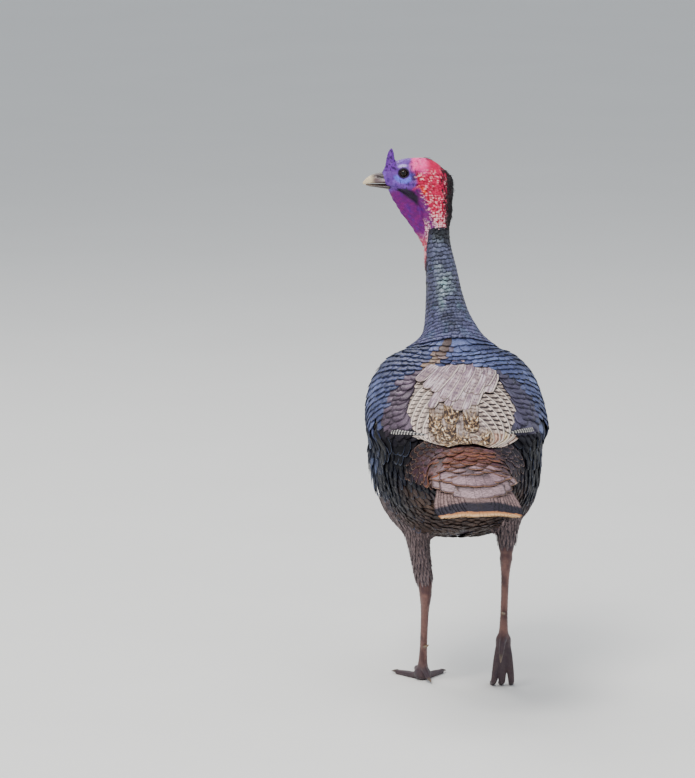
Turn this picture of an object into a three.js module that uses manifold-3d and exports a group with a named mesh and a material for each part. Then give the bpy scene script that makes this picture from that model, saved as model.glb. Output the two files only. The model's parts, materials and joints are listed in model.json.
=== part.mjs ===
// A standing male wild turkey, life size, in millimetres, +Z up.
// The bird faces -Y, its left side is +X, and it stands on the plane z = 0 in a slow walking step:
// the left foot is flat, the right foot pushes off on its toes, and the head is turned to the left.
// It is drawn about a line through the middle of the body, and then centred on its own footprint box.
import * as THREE from "three";
import { mergeVertices } from "three/addons/utils/BufferGeometryUtils.js";
import Module from "manifold-3d";

const wasm = await Module();
wasm.setup();

// ---- driving dimensions -------------------------------------------------
const GAP = 0.35; // clearance left between neighbouring solids
const TAIL_TIP_Y = 478; // rearmost point of the tail
const TAIL_HALF_WIDTH = 79; // half the width of the closed fan
const TAIL_ARCH = 11; // how far the fan's middle stands above its edges
const TAIL_SWAY = -4; // sideways lean of the fan at its tip
const HEAD_Y = -190, HEAD_DROP = 4.5; // the middle plane of the turned head, and how far it sinks on the neck
const HEAD_TURN = -4 * Math.PI / 180; // turn of the head past a right angle
const LEFT_FOOT = { x: 60, y: -4 };
const RIGHT_FOOT = { x: -74, y: 82 };
const SHANK = 158, SHANK_R = 6.4; // length of a shank from toe joint to hock, and its thinnest radius
const EYE_R = 8.5;
const WING_EDGE = 5, WING_CROWN = 15; // thickness of a folded wing at its border and at its middle

// ---- helpers ------------------------------------------------------------
const V = (x, y, z) => new THREE.Vector3(x, y, z);
const mix = (a, b, t) => a + (b - a) * t;
const clamp = (x, a, b) => Math.min(b, Math.max(a, x));
const smooth = (a, b, x) => { const t = clamp((x - a) / (b - a), 0, 1); return t * t * (3 - 2 * t); };
const spow = (x, e) => Math.sign(x) * Math.pow(Math.abs(x), e);

// Smooth interpolation of rows of numbers by a parameter from 0 to 1, evenly spaced.
function rows(table) {
  const n = table.length - 1;
  return (t) => {
    const x = clamp(t, 0, 1) * n, i = Math.min(n - 1, Math.floor(x)), f = x - i;
    const p = (k) => table[clamp(k, 0, n)];
    const a = p(i - 1), b = p(i), c = p(i + 1), d = p(i + 2);
    return b.map((_, k) => {
      const m0 = (c[k] - a[k]) / 2, m1 = (d[k] - b[k]) / 2, f2 = f * f, f3 = f2 * f;
      return (2 * f3 - 3 * f2 + 1) * b[k] + (f3 - 2 * f2 + f) * m0 + (-2 * f3 + 3 * f2) * c[k] + (f3 - f2) * m1;
    });
  };
}

// A closed surface: a sphere whose vertices are carried to at(t, a), with t along it and a around it.
function shaped(along, around, at) {
  const g = new THREE.SphereGeometry(1, around, along);
  const p = g.getAttribute("position"), w = g.parameters.widthSegments, out = V(0, 0, 0);
  for (let i = 0; i < p.count; i++) {
    const row = Math.floor(i / (w + 1)), col = i % (w + 1);
    const t = row / along, a = ((col % w) / w) * Math.PI * 2;
    out.copy(at(t, a));
    p.setXYZ(i, out.x, out.y, out.z);
  }
  g.deleteAttribute("normal");
  g.deleteAttribute("uv");
  return solid(g);
}

function solid(geometry) {
  const g = geometry.clone();
  g.deleteAttribute("normal");
  g.deleteAttribute("uv");
  const m = mergeVertices(g, 1e-3);
  const pos = m.attributes.position.array, tri = [];
  const idx = m.index.array;
  for (let i = 0; i < idx.length; i += 3)
    if (idx[i] !== idx[i + 1] && idx[i + 1] !== idx[i + 2] && idx[i] !== idx[i + 2]) tri.push(idx[i], idx[i + 1], idx[i + 2]);
  let vol = 0;
  for (let i = 0; i < tri.length; i += 3) {
    const [a, b, c] = [0, 1, 2].map((k) => V(...pos.slice(tri[i + k] * 3, tri[i + k] * 3 + 3)));
    vol += a.dot(b.cross(c));
  }
  if (vol < 0) for (let i = 0; i < tri.length; i += 3) [tri[i + 1], tri[i + 2]] = [tri[i + 2], tri[i + 1]];
  return new wasm.Manifold(new wasm.Mesh({ numProp: 3, vertProperties: new Float32Array(pos), triVerts: new Uint32Array(tri) }));
}

const largest = (m) => m.decompose().sort((a, b) => b.volume() - a.volume())[0];

// A tube-like body along a curve through key points, each [x, y, z, halfWidth, halfDepth].
// Its width lies along side, and both ends are rounded.
function limb(keys, side, along, around, grow = 0, round = [1, 1]) {
  const table = rows(keys);
  return shaped(along, around, (t, a) => {
    // the first and last few rings close the ends as round caps
    const k = 3 / along, s = clamp((t - k) / (1 - 2 * k), 0, 1);
    const c = table(s), e = 1e-3, c0 = table(Math.max(0, s - e)), c1 = table(Math.min(1, s + e));
    const dir = V(c1[0] - c0[0], c1[1] - c0[1], c1[2] - c0[2]).normalize();
    const u = side.clone().addScaledVector(dir, -side.dot(dir)).normalize();
    const v = dir.clone().cross(u);
    let f = 1, push = 0;
    if (t < k) { const q = (1 - t / k) * Math.PI / 2; f = Math.cos(q); push = -Math.sin(q) * Math.min(c[3], c[4]) * round[0]; }
    if (t > 1 - k) { const q = ((t - 1 + k) / k) * Math.PI / 2; f = Math.cos(q); push = Math.sin(q) * Math.min(c[3], c[4]) * round[1]; }
    if (t === 0 || t === 1) f = 0;
    push += Math.sign(push) * grow;
    return V(c[0], c[1], c[2]).addScaledVector(dir, push)
      .addScaledVector(u, Math.cos(a) * (c[3] + grow) * f).addScaledVector(v, Math.sin(a) * (c[4] + grow) * f);
  });
}

const ball = (x, y, z, rx, ry, rz, n) =>
  solid(new THREE.SphereGeometry(1, n, Math.round(n * 0.6)).applyMatrix4(
    new THREE.Matrix4().compose(V(x, y, z), new THREE.Quaternion(), V(rx, ry, rz))));

const union = (...s) => s.reduce((a, b) => a.add(b));
const cut = (a, ...b) => b.reduce((x, y) => x.subtract(y), a);

// A plate of a closed outline of [p, q] points, extruded along one row axis.
function plate(points, axis, from, to) {
  const shape = new THREE.Shape();
  shape.moveTo(...points[0]);
  shape.splineThru([...points.slice(1), points[0]].map((p) => new THREE.Vector2(...p)));
  const g = new THREE.ExtrudeGeometry(shape, { depth: to - from, bevelEnabled: false, curveSegments: 3 });
  g.translate(0, 0, from);
  // the outline's p, q and the depth become y, z, x for axis "x"
  if (axis === "x") g.applyMatrix4(new THREE.Matrix4().set(0, 0, 1, 0, 1, 0, 0, 0, 0, 1, 0, 0, 0, 0, 0, 1));
  return solid(g);
}

// ---- trunk --------------------------------------------------------------
// Stations from the breast to the rump: y, height of the widest line, rise above it, drop below it, half width.
const TRUNK = rows([
  [-238, 458, 0, 0, 0],
  [-230, 458, 44, 42, 52],
  [-204, 462, 84, 86, 92],
  [-160, 464, 116, 136, 124],
  [-100, 460, 126, 178, 140],
  [-34, 446, 114, 186, 145],
  [34, 428, 95, 170, 144],
  [98, 410, 78, 136, 131],
  [156, 398, 56, 98, 106],
  [208, 394, 36, 62, 78],
  [250, 393, 18, 34, 50],
  [276, 392, 0, 0, 0],
]);
function trunkPoint(t, a) {
  const [y, zc, up, down, w] = TRUNK(t);
  const c = Math.cos(a), s = Math.sin(a), e = s > 0 ? 2 / 2.3 : 2 / 2.6;
  return V(Math.max(0, w) * spow(c, e), y, zc + (s > 0 ? Math.max(0, up) : Math.max(0, down)) * spow(s, e));
}
// The trunk's skin, moved out along its own normal by depth(point).
function trunkShape(depth = () => 0, along = 20, around = 26) {
  return shaped(along, around, (t, a) => {
    const p = trunkPoint(t, a), e = 0.01;
    const u = clamp(t, 0.035, 0.965);
    const n = trunkPoint(u + e, a).sub(trunkPoint(u - e, a)).cross(trunkPoint(u, a + e).sub(trunkPoint(u, a - e))).normalize();
    const m = t === 0 ? V(0, -1, 0) : t === 1 ? V(0, 1, 0) : n;
    return p.addScaledVector(m, depth(p));
  });
}

// ---- neck ---------------------------------------------------------------
const NECK = [
  [-2, -116, 540, 80, 74],
  [0, -140, 578, 56, 60],
  [5, -160, 614, 41, 47],
  [10, -174, 656, 32.5, 38],
  [14, -182, 694, 28.5, 32],
  [19, -187, 730, 24.5, 26.5],
  [20, -189, 762, 21.5, 21.5],
  [22, -190, 794, 23, 20],
  [24, -190, 828, 26, 20],
];
const neckShape = (grow, along = 18, around = 16) => limb(NECK, V(1, 0, 0), along, around, grow, [0.3, 0.3]);

// ---- head, in its own frame: x forward along the bill, y to its left, z up ----
const headFrame = new THREE.Matrix4().makeRotationZ(HEAD_TURN).setPosition(0, HEAD_Y, -HEAD_DROP);
const flat = headFrame.toArray();
const placed = (m) => m.transform(flat);

const SKULL = [
  // back of the head to the base of the bill: x, y, z, half width, half height
  [4, 0, 838, 15, 14],
  [14, 0, 846, 20.5, 27],
  [30, 0, 852, 22.5, 36],
  [50, 0, 860.5, 23, 39],
  [68, 0, 866, 22, 33],
  [86, 0, 867.5, 19.5, 27.5],
  [100, 0, 866, 15.5, 21.5],
  [111, 0, 861.5, 11.5, 13.5],
];
const skullShape = (grow) => limb(SKULL, V(0, 1, 0), 13, 14, grow, [0.5, 0.25]);
const upperBill = (grow) => limb([
  [106, 0, 863.8, 12, 10.8],
  [118, 0, 863.1, 10.4, 9.9],
  [130, 0, 861.4, 8, 8.6],
  [141, 0, 858.2, 5.2, 5.8],
  [149, 0, 854.4, 2.4, 2.4],
], V(0, 1, 0), 9, 10, grow, [0.4, 0.9]);
const lowerBill = (grow) => limb([
  [104, 0, 847.8, 10.5, 4.7],
  [116, 0, 848.8, 9, 3.7],
  [128, 0, 849.6, 6.6, 2.7],
  [139, 0, 850.3, 4.2, 1.8],
  [145, 0, 850.6, 2.4, 1.2],
], V(0, 1, 0), 9, 10, grow, [0.4, 0.9]);
const snoodShape = (grow) => limb([
  [102.5, 0, 879, 7, 7.6],
  [102.8, 0, 891, 5.8, 6.9],
  [102.4, 0, 901, 4.6, 5.6],
  [101.8, 0, 909, 3.2, 4],
  [101, 0, 914, 1.4, 1.8],
], V(0, 1, 0), 8, 8, grow, [0.4, 1]);
// The dewlap: a thin web of skin from the chin to the front of the neck.
const wattleShape = (grow) => limb([
  [101, 0, 847, 7, 7],
  [88, 0, 834, 7, 14],
  [72, 0, 819.5, 6.5, 20],
  [60, 0, 801.5, 6, 19.5],
  [52, 0, 782, 5.5, 14.5],
  [45, 0, 764, 5, 11],
  [42, 0, 748, 4.5, 5],
], V(0, 1, 0), 10, 8, grow, [0.5, 1]);
// The upper neck where it swings forward into the head.
const headNeck = (grow) => limb([
  [22, 0, 796, 20, 23.2],
  [24, 0, 815, 20.4, 26],
  [28, 0, 836, 21, 29],
  [36, 0, 852, 21, 31],
], V(0, 1, 0), 7, 14, grow, [0.2, 0.5]);

// ---- tail ---------------------------------------------------------------
// Stations: y, height of the edge line, half width, thickness above the arch, thickness below it, arch.
const TAIL = rows([
  [182, 426, 30, 3, 3, 4],
  [194, 422, 58, 20, 26, 6],
  [220, 413, 66, 18, 26, 8],
  [256, 402, 70, 15, 21, 9],
  [300, 391, 72, 11, 14, 10],
  [348, 380, 74, 8, 8, TAIL_ARCH],
  [396, 370, 77, 6, 4, TAIL_ARCH + 2],
  [440, 361, TAIL_HALF_WIDTH, 4, 3, TAIL_ARCH + 3],
  [465, 356, 77, 3, 2.4, TAIL_ARCH + 3],
  [TAIL_TIP_Y, 353.5, 56, 2, 2, TAIL_ARCH + 2],
]);
function tailShape(grow) {
  return shaped(16, 20, (t, a) => {
    const [y, z, w, up, down, arch] = TAIL(t);
    const c = Math.cos(a), s = Math.sin(a), end = t === 0 || t === 1 ? 0 : 1;
    const x = (w + grow) * spow(c, 0.8) * end;
    const roof = arch * (1 - (x / (w + grow)) ** 2);
    // the tips of the outer feathers lie a little further forward than the middle ones
    const back = 18 * (x / TAIL_HALF_WIDTH) ** 2 * smooth(360, TAIL_TIP_Y, y);
    return V(x + TAIL_SWAY * smooth(180, TAIL_TIP_Y, y), y - back, z + roof + ((s > 0 ? up : down) + grow) * spow(s, 0.9) * end);
  });
}

// ---- legs ---------------------------------------------------------------
// Feathered thigh and drumstick, from the hip to just above the hock.
const thighL = (grow) => limb([
  [88, 0, 404, 66, 82],
  [91, 18, 352, 56, 70],
  [85, 34, 310, 41, 52],
  [76, 46, 274, 24, 35],
  [70, 54, 240, 20, 27],
  [66, 58, 212, 18.5, 22],
  [62.5, 60, 188, 17, 19],
  [60, 60, 174, 12.5, 15],
], V(1, 0, 0), 13, 14, grow, [0.5, 0.25]);
const thighR = (grow) => limb([
  [-84, 20, 402, 58, 78],
  [-88, 56, 350, 44, 62],
  [-80.5, 86, 314, 28, 43],
  [-78.5, 102, 284, 21, 29],
  [-77, 108, 258, 17.5, 20],
  [-76.5, 109, 246, 13, 16],
], V(1, 0, 0), 12, 14, grow, [0.5, 0.25]);

// A shank hangs from its hock and ends at the toe joint: offsets from the foot, height, half width, half depth.
const shank = (foot, lift, hockBack, lean) => limb([
  [lean, hockBack + 2, lift + SHANK, 9.4, 12],
  [lean * 0.9, hockBack + 1, lift + SHANK * 0.92, 11, 14],
  [lean * 0.7, hockBack - 2, lift + SHANK * 0.85, 9.6, 12.5],
  [lean * 0.5, hockBack * 0.78, lift + SHANK * 0.7, 7.2, 9.4],
  [lean * 0.3, hockBack * 0.57, lift + SHANK * 0.5, SHANK_R, 8.2],
  [lean * 0.1, hockBack * 0.33, lift + SHANK * 0.28, SHANK_R, 8],
  [0, hockBack * 0.13, lift + SHANK * 0.1, 7.6, 8.8],
  [0, 0, lift, 10, 10.5],
].map(([x, y, z, a, b]) => [foot.x + x, foot.y + y, z, a, b]), V(1, 0, 0), 15, 10, 0, [0.4, 0.5]);
const LIFT_L = 21, LIFT_R = 90; // height of each toe joint
const shankL = shank(LEFT_FOOT, LIFT_L, 63, 0), shankR = shank(RIGHT_FOOT, LIFT_R, 27, -2);

// A toe tapers along its points. It is cut flat where it meets the floor and where its claw starts.
const floorCut = solid(new THREE.BoxGeometry(1200, 1200, 100).translate(0, 0, -50));
const toe = (points, side, r0, r1) => limb(points.map((p, i) => {
  const r = mix(r0, r1, i / (points.length - 1));
  return [p.x, p.y, p.z, r, r * 0.92];
}), side, 8, 8, 0, [0.8, 0.8]);
// Everything past a point in a direction.
const past = (p, d) => solid(new THREE.BoxGeometry(60, 60, 60).translate(0, 0, 30).applyMatrix4(
  new THREE.Matrix4().compose(p, new THREE.Quaternion().setFromUnitVectors(V(0, 0, 1), d.clone().normalize()), V(1, 1, 1))));
const FLAT = 1.4; // how deep the floor trims a toe, which makes its small flat
const onFloor = (r) => r * 0.92 - FLAT;
function flatToe(f, angle, length, r0, r1) {
  const d = V(Math.sin(angle), -Math.cos(angle), 0), s = V(d.y, -d.x, 0);
  return toe([0, 0.28, 0.62, 1].map((q) => V(f.x, f.y, 0).addScaledVector(d, 2 + q * length)
    .setZ(mix(17, onFloor(mix(r0, r1, q)), smooth(0, 0.28, q)))), s, r0, r1);
}
// A claw runs on from the end of its toe and bends a little down.
function claw(tip, d, length, r, drop) {
  const side = V(d.y, -d.x, 0).normalize(), start = tip.clone().addScaledVector(d, GAP);
  return limb([0, 0.4, 0.75, 1].map((q, i) => {
    const p = start.clone().addScaledVector(d, q * length);
    return [p.x, p.y, p.z - drop * q * q, mix(r, 0.9, i / 3), mix(r, 0.9, i / 3)];
  }), side, 7, 7, 0, [0, 1]);
}
// Adds a toe, cut at its tip, and the claw that runs on from there.
function digit(foot, toes, claws, name, body, tip, d, length, r, drop) {
  toes.push(body.subtract(past(tip, d)));
  claws.push([`claw_${foot}_${name}`, claw(tip, d.clone().normalize(), length, r, drop)]);
}
const FLAT_TOES = [
  // splay to the bird's left, length, root radius, tip radius
  ["inner", -0.6, 64, 8, 5],
  ["middle", 0.03, 88, 8.6, 5.4],
  ["outer", 0.62, 66, 8, 5],
];
const leftToes = [], rightToes = [], claws = [];
for (const [name, angle, length, r0, r1] of FLAT_TOES) {
  const d = V(Math.sin(angle), -Math.cos(angle), 0);
  const tip = V(LEFT_FOOT.x, LEFT_FOOT.y, 0).addScaledVector(d, length + 4).setZ(4.9);
  digit("l", leftToes, claws, name, flatToe(LEFT_FOOT, angle, length, r0, r1), tip, d, 14, 3.9, 1.8);
}
const { x: LX, y: LY } = LEFT_FOOT, { x: RX, y: RY } = RIGHT_FOOT;
digit("l", leftToes, claws, "hind", toe([V(LX, LY + 6, 25), V(LX - 4, LY + 19, 18), V(LX - 8, LY + 32, 9)], V(1, 0, 0), 6, 4.4),
  V(LX - 8.6, LY + 34, 8), V(-0.28, 1, -0.3), 11, 3.4, 1);
const padL = ball(LX, LY - 3, 10.4, 14.5, 16, 11.8, 10);

// The right foot stands on the ends of its toes, its joint lifted behind.
const RIGHT_TOES = [
  // spread to the bird's left, reach, root radius, tip radius
  ["inner", 15, 0.86, 7.6, 4.8],
  ["middle", 1, 1, 8.2, 5.2],
  ["outer", -15, 0.88, 7.6, 4.8],
];
for (const [name, out, reach, r0, r1] of RIGHT_TOES) {
  const tipY = RY - 34 * reach, d = V(out * 0.012, -1, 0);
  digit("r", rightToes, claws, name, toe([
    V(RX + out * 0.25, RY, LIFT_R - 6), V(RX + out * 0.6, RY - 3, 58), V(RX + out * 0.85, RY - 6, 31), V(RX + out, RY - 13, 11), V(RX + out * 1.1, tipY, onFloor(r1)),
  ], V(1, 0, 0), r0, r1), V(RX + out * 1.1, tipY - 2, 4.8), d, 14, 3.6, 1.6);
}
digit("r", rightToes, claws, "hind", toe([V(RX, RY + 8, 92), V(RX + 4, RY + 21, 80), V(RX + 6, RY + 28, 66)], V(1, 0, 0), 6, 4.2),
  V(RX + 6.4, RY + 29, 63), V(0.1, 0.3, -1), 12, 3.3, 0);
const padR = ball(RX, RY, LIFT_R - 6, 13, 12, 14, 10);
const footL = union(...leftToes, padL, shankL).subtract(floorCut);
const footR = union(...rightToes, padR, shankR).subtract(floorCut);

// Spurs stand on the backs of the shanks and point back and inward.
const spur = (x, y, z, side) => limb([
  [x, y, z, 4, 4], [x - side * 3, y + 10, z + 1, 3, 3], [x - side * 7, y + 20, z + 5, 1, 1],
], V(0, 0, 1), 7, 8, 0, [0.5, 1]);

// ---- parting the bird into its named pieces -------------------------------
const above = (z) => solid(new THREE.BoxGeometry(2000, 2000, 2000).translate(0, 0, z + 1000));
const below = (z) => solid(new THREE.BoxGeometry(2000, 2000, 2000).translate(0, 0, z - 1000));
const nodes = [];
const add = (name, s, color, roughness = 0.8) => nodes.push({ name, s: largest(s), color, roughness });

const trunkBody = trunkShape(), trunkGrown = trunkShape(() => GAP), tailBody = tailShape(0), tailGrown = tailShape(GAP);
add("trunk", trunkBody.subtract(tailGrown), 0x2e2c38);
add("tail", tailBody, 0x6b4c40);

// The neck is two lengths: feathered below, bare and warty above.
const NECK_SPLIT = 772, NECK_TOP = 818;
const neckOut = cut(neckShape(0), trunkGrown);
add("neck_lower", neckOut.subtract(above(NECK_SPLIT)), 0x3c3f55);
add("neck_upper", neckOut.subtract(below(NECK_SPLIT + GAP)).subtract(above(NECK_TOP)), 0xb8485a);

// Head: the skull with the top of the neck under it.
const eyeAt = (side, grow = 0) => ball(79.5, side * 13.6, 874.5, EYE_R + grow, EYE_R + grow, EYE_R + grow, 12);
const headFlesh = union(skullShape(0), headNeck(0));
const headBare = cut(headFlesh, upperBill(GAP), lowerBill(GAP), snoodShape(GAP), eyeAt(1, GAP), eyeAt(-1, GAP));
add("head", placed(headBare).subtract(below(NECK_TOP + GAP)), 0xa8506f, 0.7);
add("bill_upper", placed(upperBill(0)), 0xd9c9a8, 0.4);
add("bill_lower", placed(lowerBill(0)), 0x8d7d66, 0.4);
add("snood", placed(snoodShape(0)), 0x7a4d9e, 0.7);
const headGrown = placed(union(skullShape(GAP), headNeck(GAP)));
add("wattle", placed(cut(wattleShape(0), lowerBill(GAP), upperBill(GAP))).subtract(headGrown).subtract(neckShape(GAP)), 0x7b3fa0, 0.7);
add("eye_l", placed(eyeAt(1)), 0x1c120c, 0.1);
add("eye_r", placed(eyeAt(-1)), 0x1c120c, 0.1);

// Wings: the layer just outside the trunk, within each wing's side outline of [y, z] points.
const WING_OUTLINE = [
  [-192, 508], [-188, 472], [-140, 444], [-50, 428], [50, 420], [130, 420], [186, 428], [204, 440], [192, 470],
  [170, 520], [120, 640], [20, 680], [-40, 640], [-84, 580], [-150, 556],
];
const WING_MID = V(0, -10, 490); // where a folded wing is thickest
const wingDepth = (p) => WING_EDGE + (WING_CROWN - WING_EDGE) * (1 - smooth(60, 190, Math.hypot(p.y - WING_MID.y, (p.z - WING_MID.z) * 1.5)));
const wingZone = (s) => plate(WING_OUTLINE, "x", s > 0 ? GAP : -260, s > 0 ? 260 : -GAP);
const fuller = trunkShape(wingDepth), fullerGrown = trunkShape((p) => wingDepth(p) + GAP);
const wing = (s) => fuller.intersect(wingZone(s)).subtract(trunkGrown).subtract(neckShape(GAP)).subtract(tailGrown);
add("wing_l", wing(1), 0x5a5560);
add("wing_r", wing(-1), 0x5a5560);

// Thighs below the trunk and under the wings, parted from the bare shanks in a cup round the hock.
const wingsGrown = fullerGrown.intersect(union(wingZone(1), wingZone(-1)));
const hockCup = (foot, lift, hockBack, lean, grow) => solid(new THREE.SphereGeometry(1, 16, 10)
  .scale(14.6 + grow, 18 + grow, 17 + grow).translate(foot.x + lean, foot.y + hockBack + 1, lift + SHANK * 0.95));
const cupL = (g) => hockCup(LEFT_FOOT, LIFT_L, 63, 0, g), cupR = (g) => hockCup(RIGHT_FOOT, LIFT_R, 27, -2, g);
add("thigh_l", cut(thighL(0), trunkGrown, wingsGrown, cupL(GAP)), 0x5b4a44);
add("thigh_r", cut(thighR(0), trunkGrown, wingsGrown, cupR(GAP)), 0x5b4a44);
const SOLE_L = 33, SOLE_R = 104; // where each foot is parted from its shank
const legL = footL.subtract(cut(thighL(GAP), cupL(0)));
const legR = footR.subtract(cut(thighR(GAP), cupR(0)));
add("shank_l", legL.subtract(below(SOLE_L + GAP)), 0x6d5246, 0.6);
add("shank_r", legR.subtract(below(SOLE_R + GAP)), 0x6d5246, 0.6);
add("foot_l", legL.subtract(above(SOLE_L)), 0x5c4740, 0.6);
add("foot_r", legR.subtract(above(SOLE_R)), 0x5c4740, 0.6);

// Spurs are trimmed a little clear of the shanks.
const swollen = (s) => [[GAP, 0, 0], [-GAP, 0, 0], [0, GAP, 0], [0, -GAP, 0], [0, 0, GAP], [0, 0, -GAP]].reduce((all, d) => all.add(s.translate(d)), s);
const footLg = swollen(footL), footRg = swollen(footR);
for (const [name, s] of claws) add(name, s, 0x2b211d, 0.5);
add("spur_l", spur(60, 18, 64, 1).subtract(footLg), 0x3a2a22, 0.5);
add("spur_r", spur(-75, 90, 134, -1).subtract(footRg), 0x3a2a22, 0.5);

// The beard: a narrow brush that hangs from the upper breast, clear of it.
const beard = limb([
  [2, -226, 494, 4, 3.4],
  [2, -242, 470, 6.5, 4.4],
  [3, -252, 432, 7.5, 4.8],
  [4, -255, 392, 7, 4.2],
  [5, -254, 354, 4.6, 3],
  [5, -252, 330, 1.6, 1.4],
], V(1, 0, 0), 12, 8, 0, [1, 1]);
add("beard", beard.subtract(trunkGrown), 0x1d1a1c, 0.8);

// ---- the scene graph ----------------------------------------------------
const turkey = new THREE.Group();
turkey.name = "wild_turkey";
const box = new THREE.Box3();
for (const { name, s, color, roughness } of nodes) {
  const m = s.getMesh(), g = new THREE.BufferGeometry();
  g.setAttribute("position", new THREE.BufferAttribute(new Float32Array(m.vertProperties), 3));
  g.setIndex(new THREE.BufferAttribute(new Uint32Array(m.triVerts), 1));
  g.computeVertexNormals();
  g.computeBoundingBox();
  box.union(g.boundingBox);
  const mesh = new THREE.Mesh(g, new THREE.MeshStandardMaterial({ color, roughness, metalness: 0 }));
  mesh.name = name;
  turkey.add(mesh);
}
// The origin is the middle of the bottom of the whole bird's box.
turkey.position.set(-(box.min.x + box.max.x) / 2, -(box.min.y + box.max.y) / 2, -box.min.z);

export default turkey;
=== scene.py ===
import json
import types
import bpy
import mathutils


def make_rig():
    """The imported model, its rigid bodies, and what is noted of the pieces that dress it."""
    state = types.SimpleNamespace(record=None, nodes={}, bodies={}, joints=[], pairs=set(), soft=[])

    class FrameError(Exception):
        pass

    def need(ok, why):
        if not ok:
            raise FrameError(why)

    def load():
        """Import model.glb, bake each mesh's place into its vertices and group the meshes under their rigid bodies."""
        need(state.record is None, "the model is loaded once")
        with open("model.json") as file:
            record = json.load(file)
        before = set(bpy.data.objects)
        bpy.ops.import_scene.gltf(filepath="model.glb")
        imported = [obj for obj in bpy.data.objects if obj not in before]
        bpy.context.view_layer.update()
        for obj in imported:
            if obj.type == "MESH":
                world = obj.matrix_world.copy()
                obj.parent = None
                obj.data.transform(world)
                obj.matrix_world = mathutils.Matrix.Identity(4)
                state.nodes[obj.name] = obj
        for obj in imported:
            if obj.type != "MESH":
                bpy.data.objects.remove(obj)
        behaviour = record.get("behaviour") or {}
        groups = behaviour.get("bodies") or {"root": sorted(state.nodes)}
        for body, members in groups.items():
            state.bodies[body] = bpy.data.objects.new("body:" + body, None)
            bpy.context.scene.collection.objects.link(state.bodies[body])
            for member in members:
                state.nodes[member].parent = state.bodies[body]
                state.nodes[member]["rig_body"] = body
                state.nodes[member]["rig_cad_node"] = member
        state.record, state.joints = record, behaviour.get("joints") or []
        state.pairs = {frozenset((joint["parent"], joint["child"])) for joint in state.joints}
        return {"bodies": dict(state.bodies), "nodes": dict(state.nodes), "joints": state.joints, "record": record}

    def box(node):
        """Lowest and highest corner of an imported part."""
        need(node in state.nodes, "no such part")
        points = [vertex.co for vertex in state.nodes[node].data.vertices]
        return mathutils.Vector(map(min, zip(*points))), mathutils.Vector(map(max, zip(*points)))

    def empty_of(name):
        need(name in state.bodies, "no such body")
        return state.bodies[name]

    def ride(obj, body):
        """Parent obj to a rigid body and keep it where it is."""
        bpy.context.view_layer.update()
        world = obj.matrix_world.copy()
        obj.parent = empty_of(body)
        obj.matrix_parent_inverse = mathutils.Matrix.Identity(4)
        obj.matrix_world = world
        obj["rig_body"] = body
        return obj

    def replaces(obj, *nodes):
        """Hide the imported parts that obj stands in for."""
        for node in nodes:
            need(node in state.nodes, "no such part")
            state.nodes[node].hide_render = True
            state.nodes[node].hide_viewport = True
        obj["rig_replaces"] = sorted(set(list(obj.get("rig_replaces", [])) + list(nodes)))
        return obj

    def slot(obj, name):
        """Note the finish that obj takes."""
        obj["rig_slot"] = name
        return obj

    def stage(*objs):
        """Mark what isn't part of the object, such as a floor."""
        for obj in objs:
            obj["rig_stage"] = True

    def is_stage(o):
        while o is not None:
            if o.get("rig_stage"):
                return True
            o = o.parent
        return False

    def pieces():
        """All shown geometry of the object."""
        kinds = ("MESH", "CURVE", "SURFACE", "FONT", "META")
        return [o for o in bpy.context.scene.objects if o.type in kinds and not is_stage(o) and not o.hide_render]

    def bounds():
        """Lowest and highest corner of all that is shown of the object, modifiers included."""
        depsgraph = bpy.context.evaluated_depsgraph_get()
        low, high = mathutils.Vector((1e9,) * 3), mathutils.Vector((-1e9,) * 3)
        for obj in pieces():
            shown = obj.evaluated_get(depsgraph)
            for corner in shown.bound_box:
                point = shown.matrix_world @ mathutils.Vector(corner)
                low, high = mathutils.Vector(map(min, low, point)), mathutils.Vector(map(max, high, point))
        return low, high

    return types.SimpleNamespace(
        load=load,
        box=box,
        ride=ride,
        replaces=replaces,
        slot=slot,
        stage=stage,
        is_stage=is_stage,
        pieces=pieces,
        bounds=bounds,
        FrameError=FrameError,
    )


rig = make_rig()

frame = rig.load()

import json
import math

import bpy
import numpy as np
import openvdb as vdb
from mathutils import Matrix, Vector

CAD_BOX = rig.bounds()

# The bird is drawn in millimetres about the middle of its body, facing -Y with its left side +X.
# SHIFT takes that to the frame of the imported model.
_lo, _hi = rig.box("tail")
_tlo, _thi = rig.box("trunk")
SHIFT = np.array([(_tlo[0] + _thi[0]) * 500.0, _hi[1] * 1000.0 - 478.0, 0.0])
to_row = lambda p: (np.asarray(p, float) + SHIFT) * 0.001
PI = math.pi


# ---- numbers ---------------------------------------------------------------
def clamp(x, a=0.0, b=1.0):
    return np.minimum(b, np.maximum(a, x))


def smooth(a, b, x):
    t = clamp((x - a) / (b - a))
    return t * t * (3 - 2 * t)


def mix(a, b, t):
    return a + (b - a) * t


def mixc(a, b, t):
    return np.asarray(a) * (1 - t[..., None]) + np.asarray(b) * t[..., None]


def unit(v):
    return v / np.maximum(1e-9, np.linalg.norm(v, axis=-1, keepdims=True))


def spow(x, e):
    return np.sign(x) * np.abs(x) ** e


def srgb(*c):
    c = np.array(c, float) / 255.0
    c = np.where(c <= 0.04045, c / 12.92, ((c + 0.055) / 1.055) ** 2.4)
    return np.clip(c.mean() + (c - c.mean()) * 1.18, 0.001, 1.0)


def hash3(i, j, k, seed=0):
    n = (i * 374761393 + j * 668265263 + k * 2147483647 + seed * 1274126177) & 0xFFFFFFFF
    n = ((n ^ (n >> 13)) * 1274126177) & 0xFFFFFFFF
    n = (n ^ (n >> 16)) & 0xFFFFFFFF
    return n.astype(np.float64) / 4294967295.0


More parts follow.
